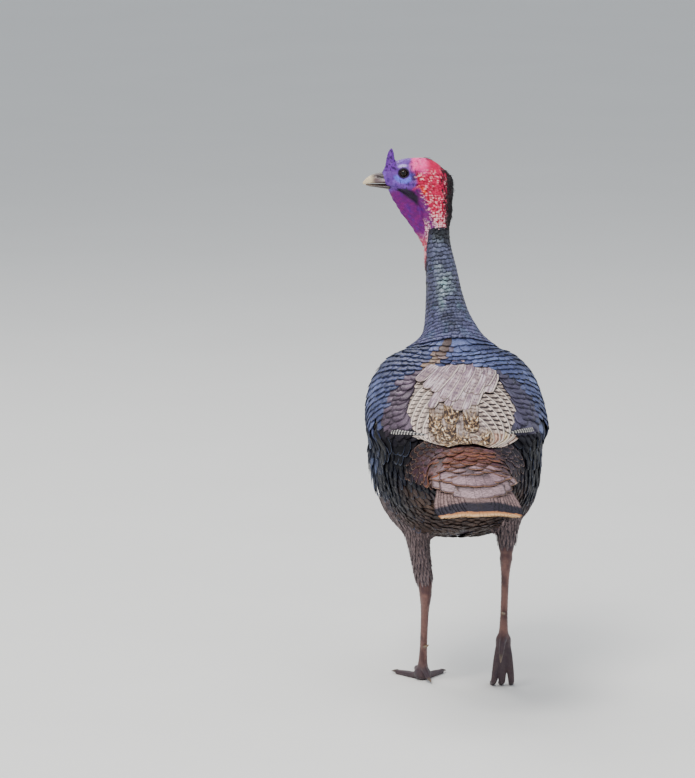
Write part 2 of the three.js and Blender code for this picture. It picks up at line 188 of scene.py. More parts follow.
def noise3(p, seed=0):
    """Smooth value noise from 0 to 1 at points p."""
    q = np.floor(p).astype(np.int64)
    f = p - q
    f = f * f * (3 - 2 * f)
    out = 0
    for dx in (0, 1):
        for dy in (0, 1):
            for dz in (0, 1):
                w = (f[..., 0] if dx else 1 - f[..., 0]) * (f[..., 1] if dy else 1 - f[..., 1]) * (f[..., 2] if dz else 1 - f[..., 2])
                out = out + w * hash3(q[..., 0] + dx, q[..., 1] + dy, q[..., 2] + dz, seed)
    return out


def cells(uv, seed=0, jitter=0.75):
    """Distance to the nearest and second nearest of jittered grid points in a plane, in cells, and the nearest one's hash."""
    q = np.floor(uv).astype(np.int64)
    best = np.full(uv.shape[:-1], 9.0)
    second = best.copy()
    tag = np.zeros(uv.shape[:-1])
    z = np.zeros_like(q[..., 0])
    for dx in (-1, 0, 1):
        for dy in (-1, 0, 1):
            i, j = q[..., 0] + dx, q[..., 1] + dy
            c = np.stack([i + 0.5 + jitter * (hash3(i, j, z, seed) - 0.5), j + 0.5 + jitter * (hash3(i, j, z, seed + 7) - 0.5)], -1)
            d = np.linalg.norm(uv - c, axis=-1)
            h = hash3(i, j, z, seed + 13)
            near = d < best
            second = np.where(near, best, np.minimum(second, d))
            tag = np.where(near, h, tag)
            best = np.where(near, d, best)
    return best, second, tag


def rows(table):
    """Smooth interpolation of rows of numbers by a parameter from 0 to 1, evenly spaced."""
    T = np.array(table, float)
    n = len(T) - 1

    def at(t):
        x = np.clip(np.asarray(t, float), 0, 1) * n
        i = np.minimum(n - 1, np.floor(x)).astype(int)
        f = (x - i)[..., None]
        a, b, c, d = (T[np.clip(i + k, 0, n)] for k in (-1, 0, 1, 2))
        m0, m1 = (c - a) / 2, (d - b) / 2
        return (2 * f**3 - 3 * f**2 + 1) * b + (f**3 - 2 * f**2 + f) * m0 + (-2 * f**3 + 3 * f**2) * c + (f**3 - f**2) * m1

    return at


# ---- closed shapes, as the solids are drawn --------------------------------
def grid_tris(nt, na):
    """Triangles of a closed tube: a pole, nt - 1 rings of na points, and a pole."""
    i, j = np.meshgrid(np.arange(nt - 2), np.arange(na), indexing="ij")
    a, b = 1 + i * na + j, 1 + i * na + (j + 1) % na
    c, d = a + na, b + na
    mid = np.concatenate([np.stack([a, c, b], -1).reshape(-1, 3), np.stack([b, c, d], -1).reshape(-1, 3)])
    j = np.arange(na)
    last = 1 + (nt - 1) * na
    top = np.stack([np.zeros(na, int), 1 + j, 1 + (j + 1) % na], -1)
    end = np.stack([last - na + j, np.full(na, last), last - na + (j + 1) % na], -1)
    return np.concatenate([top, mid, end])


def tube(P):
    """Vertices and outward triangles of a closed tube from its rings, (nt + 1, na, 3). The first and last rings are points."""
    nt, na = P.shape[0] - 1, P.shape[1]
    V = np.concatenate([P[:1, 0], P[1:-1].reshape(-1, 3), P[-1:, 0]])
    T = grid_tris(nt, na)
    a, b, c = V[T[:, 0]], V[T[:, 1]], V[T[:, 2]]
    if np.einsum("ij,ij->", a, np.cross(b, c)) < 0:
        T = T[:, ::-1]
    return V, np.ascontiguousarray(T)


def limb_rings(keys, side, cap, grow=0.0, rnd=(1, 1), nt=90, na=48, extra=None):
    table = rows(keys)
    side = np.array(side, float)
    t = np.linspace(0, 1, nt + 1)
    s = np.clip((t - cap) / (1 - 2 * cap), 0, 1)
    e = 1e-3
    c, c0, c1 = table(s), table(np.maximum(0, s - e)), table(np.minimum(1, s + e))
    d = unit(c1[:, :3] - c0[:, :3])
    u = unit(side - d * (d @ side)[:, None])
    v = np.cross(d, u)
    f, push = np.ones(nt + 1), np.zeros(nt + 1)
    r = np.minimum(c[:, 3], c[:, 4])
    lo, hi = t < cap, t > 1 - cap
    q = (1 - t / cap) * PI / 2
    f = np.where(lo, np.cos(q), f)
    push = np.where(lo, -np.sin(q) * r * rnd[0], push)
    q = ((t - 1 + cap) / cap) * PI / 2
    f = np.where(hi, np.cos(q), f)
    push = np.where(hi, np.sin(q) * r * rnd[1], push)
    f[0] = f[-1] = 0
    push = push + np.sign(push) * grow
    a = np.arange(na) / na * 2 * PI
    wide, deep = (c[:, 3] + grow) * f, (c[:, 4] + grow) * f
    P = (c[:, None, :3] + (d * push[:, None])[:, None] + u[:, None] * (np.cos(a) * wide[:, None])[..., None]
         + v[:, None] * (np.sin(a) * deep[:, None])[..., None])
    return P


def limb(*a, **k):
    return tube(limb_rings(*a, **k))


TRUNK = rows([
    [-238, 458, 0, 0, 0], [-230, 458, 44, 42, 52], [-204, 462, 84, 86, 92], [-160, 464, 116, 136, 124],
    [-100, 460, 126, 178, 140], [-34, 446, 114, 186, 145], [34, 428, 95, 170, 144], [98, 410, 78, 136, 131],
    [156, 398, 56, 98, 106], [208, 394, 36, 62, 78], [250, 393, 18, 34, 50], [276, 392, 0, 0, 0],
])


def trunk_point(t, a):
    r = TRUNK(t)
    c, s = np.cos(a), np.sin(a)
    e = np.where(s > 0, 2 / 2.3, 2 / 2.6)
    rise = np.where(s > 0, np.maximum(0, r[..., 2]), np.maximum(0, r[..., 3]))
    return np.stack([np.maximum(0, r[..., 4]) * spow(c, e), r[..., 0], r[..., 1] + rise * spow(s, e)], -1)


WING_OUTLINE = np.array([
    [-192, 508], [-188, 472], [-140, 444], [-50, 428], [50, 420], [130, 420], [186, 428], [204, 440], [192, 470],
    [170, 520], [120, 640], [20, 680], [-40, 640], [-84, 580], [-150, 556]], float)


def wing_inside(p):
    """How far a point is inside the wing's side outline, in the Y-Z plane; negative outside."""
    q = p[..., 1:3]
    best = np.full(q.shape[:-1], 1e9)
    odd = np.zeros(q.shape[:-1], bool)
    n = len(WING_OUTLINE)
    for i in range(n):
        a, b = WING_OUTLINE[i], WING_OUTLINE[(i + 1) % n]
        ab = b - a
        t = clamp(((q - a) @ ab) / (ab @ ab))
        best = np.minimum(best, np.linalg.norm(q - a - t[..., None] * ab, axis=-1))
        up = (a[1] > q[..., 1]) != (b[1] > q[..., 1])
        x = a[0] + (q[..., 1] - a[1]) / (b[1] - a[1] if b[1] != a[1] else 1e-9) * (b[0] - a[0])
        odd ^= up & (q[..., 0] < x)
    return np.where(odd, best, -best)


def wing_depth(p):
    full = 5 + 10 * (1 - smooth(60, 190, np.hypot(p[..., 1] + 10, (p[..., 2] - 490) * 1.5)))
    return full * smooth(-4, 22, wing_inside(p))


def trunk_mesh(depth=None, nt=150, na=180):
    t, a = np.meshgrid(np.linspace(0, 1, nt + 1), np.arange(na) / na * 2 * PI, indexing="ij")
    p = trunk_point(t, a)
    if depth is not None:
        e, u = 0.01, np.clip(t, 0.035, 0.965)
        n = unit(np.cross(trunk_point(u + e, a) - trunk_point(u - e, a), trunk_point(u, a + e) - trunk_point(u, a - e)))
        n[0], n[-1] = (0, -1, 0), (0, 1, 0)
        p = p + n * depth(p)[..., None]
    return tube(p)


NECK = [
    [-2, -116, 540, 80, 74], [0, -140, 578, 56, 60], [5, -160, 614, 41, 47], [10, -174, 656, 32.5, 38], [14, -182, 694, 28.5, 32],
    [19, -187, 730, 24.5, 26.5], [20, -189, 762, 21.5, 21.5], [22, -190, 794, 23, 20], [24, -190, 828, 26, 20]]
THIGH_L = [[88, 0, 404, 66, 82], [91, 18, 352, 56, 70], [85, 34, 310, 41, 52], [76, 46, 274, 24, 35], [70, 54, 240, 20, 27],
           [66, 58, 212, 18.5, 22], [62.5, 60, 188, 17, 19], [60, 60, 174, 12.5, 15]]
THIGH_R = [[-84, 20, 402, 58, 78], [-88, 56, 350, 44, 62], [-80.5, 86, 314, 28, 43], [-78.5, 102, 284, 21, 29], [-77, 108, 258, 17.5, 20],
           [-76.5, 109, 246, 13, 16]]
SHANK, SHANK_R = 158, 6.4


def shank_keys(foot, lift, back, lean):
    rows_ = [[lean, back + 2, lift + SHANK, 9.4, 12], [lean * 0.9, back + 1, lift + SHANK * 0.92, 11, 14], [lean * 0.7, back - 2, lift + SHANK * 0.85, 9.6, 12.5],
             [lean * 0.5, back * 0.78, lift + SHANK * 0.7, 7.2, 9.4], [lean * 0.3, back * 0.57, lift + SHANK * 0.5, SHANK_R, 8.2],
             [lean * 0.1, back * 0.33, lift + SHANK * 0.28, SHANK_R, 8], [0, back * 0.13, lift + SHANK * 0.1, 7.6, 8.8], [0, 0, lift, 10, 10.5]]
    return [[foot[0] + x, foot[1] + y, z, a, b] for x, y, z, a, b in rows_]


LEFT_FOOT, RIGHT_FOOT, LIFT_L, LIFT_R = (60, -4), (-74, 82), 21, 90

# ---- the head's own frame: x forward along the bill, y to its left, z up ----
HEAD_Y, HEAD_DROP, HEAD_TURN = -190.0, 4.5, -4 * PI / 180
HEAD_R = np.array([[math.cos(HEAD_TURN), -math.sin(HEAD_TURN), 0], [math.sin(HEAD_TURN), math.cos(HEAD_TURN), 0], [0, 0, 1]])
from_head = lambda p: np.asarray(p, float) @ HEAD_R.T + np.array([0, HEAD_Y, -HEAD_DROP])
to_head = lambda p: (np.asarray(p, float) - np.array([0, HEAD_Y, -HEAD_DROP])) @ HEAD_R
SKULL = [[4, 0, 838, 15, 14], [14, 0, 846, 20.5, 27], [30, 0, 852, 22.5, 36], [50, 0, 860.5, 23, 39], [68, 0, 866, 22, 33],
         [86, 0, 867.5, 19.5, 27.5], [100, 0, 866, 15.5, 21.5], [111, 0, 861.5, 11.5, 13.5]]
UPPER_BILL = [[106, 0, 863.8, 12, 10.8], [118, 0, 863.1, 10.4, 9.9], [130, 0, 861.4, 8, 8.6], [141, 0, 858.2, 5.2, 5.8], [149, 0, 854.4, 2.4, 2.4]]
LOWER_BILL = [[104, 0, 847.8, 10.5, 4.7], [116, 0, 848.8, 9, 3.7], [128, 0, 849.6, 6.6, 2.7], [139, 0, 850.3, 4.2, 1.8], [145, 0, 850.6, 2.4, 1.2]]
SNOOD = [[102.5, 0, 879, 7, 7.6], [102.8, 0, 891, 5.8, 6.9], [102.4, 0, 901, 4.6, 5.6], [101.8, 0, 909, 3.2, 4], [101, 0, 914, 1.4, 1.8]]
WATTLE = [[101, 0, 847, 7, 7], [88, 0, 834, 7, 14], [72, 0, 819.5, 6.5, 20], [60, 0, 801.5, 6, 19.5], [52, 0, 782, 5.5, 14.5], [45, 0, 764, 5, 11],
          [42, 0, 748, 4.5, 5]]
HEAD_NECK = [[22, 0, 796, 20, 23.2], [24, 0, 815, 20.4, 26], [28, 0, 836, 21, 29], [36, 0, 852, 21, 31]]
EYE, EYE_R = np.array([79.5, 13.6, 874.5]), 8.5

TAIL = rows([
    [182, 426, 30, 3, 3, 4], [194, 422, 58, 20, 26, 6], [220, 413, 66, 18, 26, 8], [256, 402, 70, 15, 21, 9], [300, 391, 72, 11, 14, 10],
    [348, 380, 74, 8, 8, 11], [396, 369, 77, 6, 4, 11], [440, 358.5, 79, 4, 3, 11], [465, 352.5, 77, 3, 2.4, 11], [478, 349.5, 56, 2, 2, 10]])
_ty = TAIL(np.linspace(0, 1, 400))
tail_at = lambda y, k: np.interp(y, _ty[:, 0], _ty[:, k])


def tail_mesh(y1=330.0, nt=60, na=60):
    """The covered root of the tail, closed off at y1."""
    t, a = np.meshgrid(np.linspace(0, 1, nt + 1), np.arange(na) / na * 2 * PI, indexing="ij")
    y = 182 + (y1 - 182) * t
    end = np.sqrt(clamp(1 - ((t - 0.5) * 2) ** 8))
    w, up, down, arch, z = (tail_at(y, k) for k in (2, 3, 4, 5, 1))
    c, s = np.cos(a), np.sin(a)
    x = w * spow(c, 0.8) * end
    roof = arch * (1 - (x / w) ** 2)
    return tube(np.stack([x - 7 * smooth(180, 478, y), y, z + roof + np.where(s > 0, up, down) * spow(s, 0.9) * end], -1))


# ---- fields: signed distance on a grid, negative inside --------------------
class Grid:
    def __init__(self, lo, hi, h):
        self.h = float(h)
        self.i0 = np.floor(np.array(lo, float) / h).astype(int)
        self.n = np.ceil(np.array(hi, float) / h).astype(int) - self.i0 + 1
        self.tr = vdb.createLinearTransform(self.h)

    def distance(self, shape, band=8.0):
        V, T = shape
        g = vdb.FloatGrid.createLevelSetFromPolygons(V.astype(np.float32), triangles=T.astype(np.uint32), transform=self.tr, halfWidth=band)
        a = np.empty(tuple(int(k) for k in self.n), np.float32)
        g.copyToArray(a, ijk=tuple(int(k) for k in self.i0))
        return a

    def axes(self):
        return [(np.arange(self.n[k]) + self.i0[k]) * self.h for k in range(3)]

    def points(self):
        x, y, z = self.axes()
        return np.stack(np.meshgrid(x, y, z, indexing="ij"), -1)

    def sample(self, A, P):
        q = P / self.h - self.i0
        i = np.clip(np.floor(q).astype(int), 0, self.n - 2)
        f = np.clip(q - i, 0, 1)
        out = 0
        for dx in (0, 1):
            for dy in (0, 1):
                for dz in (0, 1):
                    w = (f[..., 0] if dx else 1 - f[..., 0]) * (f[..., 1] if dy else 1 - f[..., 1]) * (f[..., 2] if dz else 1 - f[..., 2])
                    out = out + w * A[i[..., 0] + dx, i[..., 1] + dy, i[..., 2] + dz]
        return out

    def slope(self, A, P, e=None):
        e = e or self.h
        g = []
        for k in range(3):
            d = np.zeros(3)
            d[k] = e
            g.append(self.sample(A, P + d) - self.sample(A, P - d))
        return np.stack(g, -1) / (2 * e)

    def surface(self, A, level=0.0):
        g = vdb.FloatGrid()
        g.background = float(A.max())
        g.transform = self.tr
        g.copyFromArray(np.ascontiguousarray(A, np.float32), ijk=tuple(int(k) for k in self.i0))
        P, Q = g.convertToQuads(isovalue=level)
        return P.astype(float), Q.astype(int)


def smin(a, b, k):
    h = np.clip(0.5 + 0.5 * (b - a) / k, 0, 1)
    return b + (a - b) * h - k * h * (1 - h)


def outward(P, Q):
    """Turns a closed quad mesh's faces outward."""
    vol = 0.0
    for t in ((0, 1, 2), (0, 2, 3)):
        a, b, c = (P[Q[:, k]] for k in t)
        vol += np.einsum("ij,ij->", a, np.cross(b, c))
    return Q[:, ::-1] if vol < 0 else Q


# ---- Blender meshes --------------------------------------------------------
def mesh_object(name, P, loops, counts, smooth_shading=True):
    """An object from points in drawing millimetres and faces given as a flat loop list with counts."""
    me = bpy.data.meshes.new(name)
    P = to_row(P)
    me.vertices.add(len(P))
    me.vertices.foreach_set("co", P.astype(np.float32).ravel())
    loops = np.asarray(loops).ravel().astype(np.int32)
    counts = np.asarray(counts).astype(np.int32)
    me.loops.add(len(loops))
    me.loops.foreach_set("vertex_index", loops)
    me.polygons.add(len(counts))
    starts = np.concatenate([[0], np.cumsum(counts)[:-1]]).astype(np.int32)
    me.polygons.foreach_set("loop_start", starts)
    me.update(calc_edges=True)
    if smooth_shading:
        me.polygons.foreach_set("use_smooth", np.ones(len(counts), bool))
    me.update()
    o = bpy.data.objects.new(name, me)
    bpy.context.scene.collection.objects.link(o)
    return o


def put(o, name, values, kind="FLOAT", domain="POINT"):
    a = o.data.attributes.new(name, kind, domain)
    v = np.asarray(values, np.float32)
    if kind == "FLOAT":
        a.data.foreach_set("value", v.ravel())
    elif kind == "FLOAT_COLOR":
        if v.shape[-1] == 3:
            v = np.concatenate([v, np.ones(v.shape[:-1] + (1,), np.float32)], -1)
        a.data.foreach_set("color", v.ravel())
    elif kind == "FLOAT_VECTOR":
        a.data.foreach_set("vector", v.ravel())
    return a


def put_uv(o, name, uv):
    """A UV map from one pair of numbers for each vertex."""
    layer = o.data.uv_layers.new(name=name)
    idx = np.empty(len(o.data.loops), np.int32)
    o.data.loops.foreach_get("vertex_index", idx)
    layer.data.foreach_set("uv", np.asarray(uv, np.float32)[idx].ravel())
    return layer


def shape_object(name, shape, material=None):
    V, T = shape
    o = mesh_object(name, V, T, np.full(len(T), 3))
    if material:
        o.data.materials.append(material)
    return o


# ---- the outline of the whole plumage, on one grid --------------------------
BODY = Grid((-178, -276, 150), (178, 345, 800), 3.0)
E_TRUNK = BODY.distance(trunk_mesh(wing_depth))
E_CORE = BODY.distance(trunk_mesh())
E_NECK = BODY.distance(limb(NECK, (1, 0, 0), 3 / 18, rnd=(0.3, 0.3)))
E_LEG_L = BODY.distance(limb(THIGH_L, (1, 0, 0), 3 / 13, rnd=(0.5, 0.25)))
E_LEG_R = BODY.distance(limb(THIGH_R, (1, 0, 0), 3 / 12, rnd=(0.5, 0.25)))
E_TAIL = BODY.distance(tail_mesh())
E_ALL = smin(smin(smin(smin(E_TRUNK, E_NECK, 20), E_LEG_L, 18), E_LEG_R, 18), E_TAIL, 12)


def settle(p, depth, field=None, steps=3):
    """Moves points onto the surface that lies depth under the plumage's outline."""
    A = E_ALL if field is None else field
    for _ in range(steps):
        g = BODY.slope(A, p)
        e = BODY.sample(A, p) + depth
        p = p - g * (e / np.maximum(0.25, np.einsum("...i,...i->...", g, g)))[..., None]
    return p


def face_out(p, field=None):
    return unit(BODY.slope(E_ALL if field is None else field, p, 4.0))


# ---- skin: one closed surface under the plumage ------------------------------
def front_strip(x, y, z):
    """Where the front of the neck is bare below the dewlap, from 0 to 1."""
    cx, cy, r = (np.interp(z, [k[2] for k in NECK], [k[i] for k in NECK]) for i in (0, 1, 3))
    turn = (x - cx) / np.maximum(1, np.hypot(x - cx, y - cy))
    return smooth(0.80, 0.97, turn) * smooth(640, 668, z) + 0 * r


def body_skin():
    z = BODY.axes()[2]
    inset = (11 - 4.5 * smooth(345, 310, z))[None, None, :].astype(np.float32)
    A = smin(smin(smin(smin(E_CORE + inset, E_NECK + 7, 20), E_LEG_L + 5, 16), E_LEG_R + 5, 16), E_TAIL + 11, 10)
    # barely sunk where the front of the neck is bare
    up = int(np.argmax(z > 640))
    x, y = BODY.axes()[:2]
    A[:, :, up:] -= 5.5 * front_strip(x[:, None, None], y[None, :, None], z[None, None, up:])
    A = np.maximum(A, (z - 734)[None, None, :])
    A = np.maximum(A, (206 - z)[None, None, :])
    half = Grid((0, 0, 0), (1, 1, 1), 6.0)
    i0 = BODY.i0 + (BODY.i0 % 2)  # start on an even sample
    B = A[i0[0] - BODY.i0[0]::2, i0[1] - BODY.i0[1]::2, i0[2] - BODY.i0[2]::2]
    half.i0, half.n = i0 // 2, np.array(B.shape)
    P, Q = half.surface(B)
    return P, outward(P, Q)


def wrap(hx, hz):
    """Height of the neck's bare warts over the skin: rows of small domes, from a place on its unrolled surface."""
    best, second, tag = cells(np.stack([hx / 4.6, hz / 3.7], -1), 3, 0.7)
    return clamp(1 - (best / 0.62) ** 2) ** 0.7 * (0.55 + 0.45 * tag)


def wart_zone(h):
    """Where the head and neck are warty, from 0 to 1, at points of the head's frame."""
    x, y, z = h[..., 0], h[..., 1], h[..., 2]
    jaw = 60 - 0.42 * clamp(860 - z, 0, 200)  # front edge of the warts leans back down the neck
    back = smooth(-2, 6, x) * smooth(jaw + 5, jaw - 5, x)
    low = smooth(742, 752, z) * smooth(886, 868, z)
    web = smooth(10.5, 8, np.abs(y)) * smooth(40.5, 44.5, x)  # none on the thin dewlap
    front = smooth(30, 36, x) * smooth(600, 660, z) * smooth(800, 780, z) * (1 - web) * 0.8  # the strip down the front of the neck
    return np.maximum(back * low * smooth(760, 785, z + 0.6 * (x - 10)), front) * (1 - web * smooth(742, 756, z))


HEAD = Grid((-48, -250, 692), (128, -112, 925), 1.0)


def head_field():
    D = HEAD.distance
    world = lambda keys, cap, rnd, **k: (lambda s: (from_head(s[0]), s[1]))(limb(keys, (0, 1, 0), cap, rnd=rnd, **k))
    skull = D(world(SKULL, 3 / 13, (0.5, 0.25)))
    throat = D(world(HEAD_NECK, 3 / 7, (0.2, 0.5)))
    neck = D(limb(NECK, (1, 0, 0), 3 / 18, rnd=(0.3, 0.3)))
    web = D(world(WATTLE, 3 / 10, (0.5, 1)))
    snood = D(world([[*k[:3], k[3] * 1.05, k[4] * 1.14] for k in SNOOD], 3 / 8, (0.4, 1), nt=60, na=28))
    z = HEAD.axes()[2]
    # the feathered part of the neck is slimmer by its feathers' depth
    bare = smooth(748, 792, z)[None, None, :]
    bare = np.maximum(bare, 0.9 * front_strip(HEAD_PTS[..., 0], HEAD_PTS[..., 1], HEAD_PTS[..., 2]))
    neck = (neck + 5.0 * (1 - bare)).astype(np.float32)
    A = smin(skull, throat, 9)
    A = smin(A, neck, 12)
    A = smin(A, web, 6)
    # cheeks and brows
    for s in (1, -1):
        for c, r in (((66, 15.5, 852), (17, 7.2, 13)), ((88, 11, 884.5), (11, 6, 5)), ((92, 9.5, 856), (13, 7, 8)), ((60, 14.5, 876), (10, 7.5, 9))):
            q = from_head(np.array([[c[0], s * c[1], c[2]]]))[0]
            d = (HEAD_PTS - q) @ HEAD_R / np.array(r, float)
            n = np.sqrt(np.einsum("...i,...i->...", d, d))
            A = smin(A, ((n - 1) * min(r)).astype(np.float32), 5)
    A = smin(A, snood, 4.5)
    # the crease behind the jaw, the ear and the corner of the mouth
    for s in (1, -1):
        for a, b, r, k in (((88, 19.5, 843.5), (62, 23.5, 832), 2.0, 5.0), ((56, 22.4, 853), (52, 22.6, 851), 2.6, 1.5), ((112, 12.4, 853.4), (92, 18.6, 849.5), 1.1, 1.6),
                           ((64, 24, 862), (44, 25, 858), 1.6, 3.0)):
            pa, pb = (from_head(np.array([[p[0], s * p[1], p[2]]]))[0] for p in (a, b))
            ab = pb - pa
            t = np.clip(((HEAD_PTS - pa) @ ab) / (ab @ ab), 0, 1)
            d = np.linalg.norm(HEAD_PTS - pa - t[..., None] * ab, axis=-1) - r
            A = -smin(-A, d.astype(np.float32), k)
    for s in (1, -1):
        q = from_head(np.array([[EYE[0], s * EYE[1], EYE[2]]]))[0]
        d = np.linalg.norm(HEAD_PTS - q, axis=-1)
        A = smin(A, (d - (EYE_R + 1.0)).astype(np.float32), 3)
        o = (HEAD_PTS - q) @ HEAD_R
        hole = (np.sqrt((o[..., 0] / 6.9) ** 2 + (o[..., 2] / 6.3) ** 2) - 1) * 6.4
        hole = np.where(s * o[..., 1] > 0, hole, 9.0)
        A = -smin(-A, np.maximum(hole, 4.0 - d).astype(np.float32), 1.6)
        A = np.maximum(A, (EYE_R - 0.3 - d).astype(np.float32))
    return np.maximum(A, (696 - z)[None, None, :])


HEAD_PTS = HEAD.points().astype(np.float32)
E_HEAD = head_field()


def head_skin():
    P, Q = HEAD.surface(E_HEAD)
    Q = outward(P, Q)
    n = unit(HEAD.slope(E_HEAD, P, 1.0))
    h = to_head(P)
    zone = wart_zone(h)
    # unroll the neck round its own middle line
    cx = np.interp(P[:, 2], [640, 694, 762, 828, 870], [10, 14, 20, 24, 40])
    around = np.arctan2(P[:, 1] + 190, P[:, 0] - cx) * 23
    bump = wrap(around, P[:, 2])
    amount = zone * 2.1 * smooth(0.15, 0.8, noise3(P / 26.0, 5) + 0.35)
    d = amount * (bump - 0.35)
    face = smooth(40, 60, h[:, 0]) * smooth(822, 850, h[:, 2]) * (1 - zone)
    # fine folds on the dewlap, rings on the snood, pebbles on the face
    web = smooth(8.5, 6.0, np.abs(h[:, 1])) * smooth(838, 826, h[:, 2]) * smooth(30, 44, h[:, 0])
    d = d + web * 0.45 * np.sin((h[:, 0] * 0.62 - h[:, 2] * 0.78) * 2 * PI / 5.2 + 3 * noise3(P / 12.0, 8))
    sn = smooth(883, 888, h[:, 2]) * smooth(90, 94, h[:, 0])
    d = d + sn * 0.35 * np.sin(h[:, 2] * 2 * PI / 2.6 + 2 * noise3(P / 5.0, 9))
    b2, _, t2 = cells(np.stack([h[:, 0] / 3.1, h[:, 2] / 3.1], -1), 11, 0.8)
    near_eye = np.linalg.norm((h[:, [0, 2]] - EYE[[0, 2]]), axis=1)
    d = d + face * 0.38 * clamp(1 - (b2 / 0.5) ** 2) * smooth(9, 13, near_eye)
    # wrinkles round the lids
    ring = smooth(6.6, 8.0, near_eye) * smooth(15, 9.5, near_eye) * (np.abs(h[:, 1]) > 9)
    ang = np.arctan2(h[:, 2] - EYE[2], h[:, 0] - EYE[0])
    d = d + ring * 0.28 * np.sin(near_eye * 2 * PI / 2.1 + 0.8 * np.sin(ang * 3))
    d = d + 0.25 * (noise3(P / 4.0, 12) - 0.5)
    return P + n * d[:, None], Q


def toe_rings(points, side, r0, r1, swell=0.07):
    n = len(points) - 1
    keys = [[*p, mix(r0, r1, i / n), mix(r0, r1, i / n) * 0.92] for i, p in enumerate(points)]
    P = limb_rings(keys, side, 3 / 8, rnd=(0.8, 0.8), nt=60, na=24)
    return P


def left_toe(angle, length, r0, r1):
    d = np.array([math.sin(angle), -math.cos(angle), 0])
    pts = []
    for q in (0, 0.28, 0.62, 1):
        p = np.array([LEFT_FOOT[0], LEFT_FOOT[1], 0.0]) + d * (2 + q * length)
        r = mix(r0, r1, q)
        p[2] = mix(17, r * 0.92 - 1.4, float(smooth(0, 0.28, q)))
        pts.append(p)
    return toe_rings(pts, (d[1], -d[0], 0), r0, r1), d


def ball(c, r, nt=30, na=36):
    t, a = np.meshgrid(np.linspace(0, 1, nt + 1) * PI, np.arange(na) / na * 2 * PI, indexing="ij")
    P = np.stack([np.sin(t) * np.cos(a), np.sin(t) * np.sin(a), np.cos(t)], -1) * np.array(r, float) + np.array(c, float)
    return tube(P)


TOES_L = [(-0.6, 64, 8, 5), (0.03, 88, 8.6, 5.4), (0.62, 66, 8, 5)]
TOES_R = [(15, 0.86, 7.6, 4.8), (1, 1, 8.2, 5.2), (-15, 0.88, 7.6, 4.8)]
TIPS = []  # where each claw starts: name, point, direction, length, radius, drop


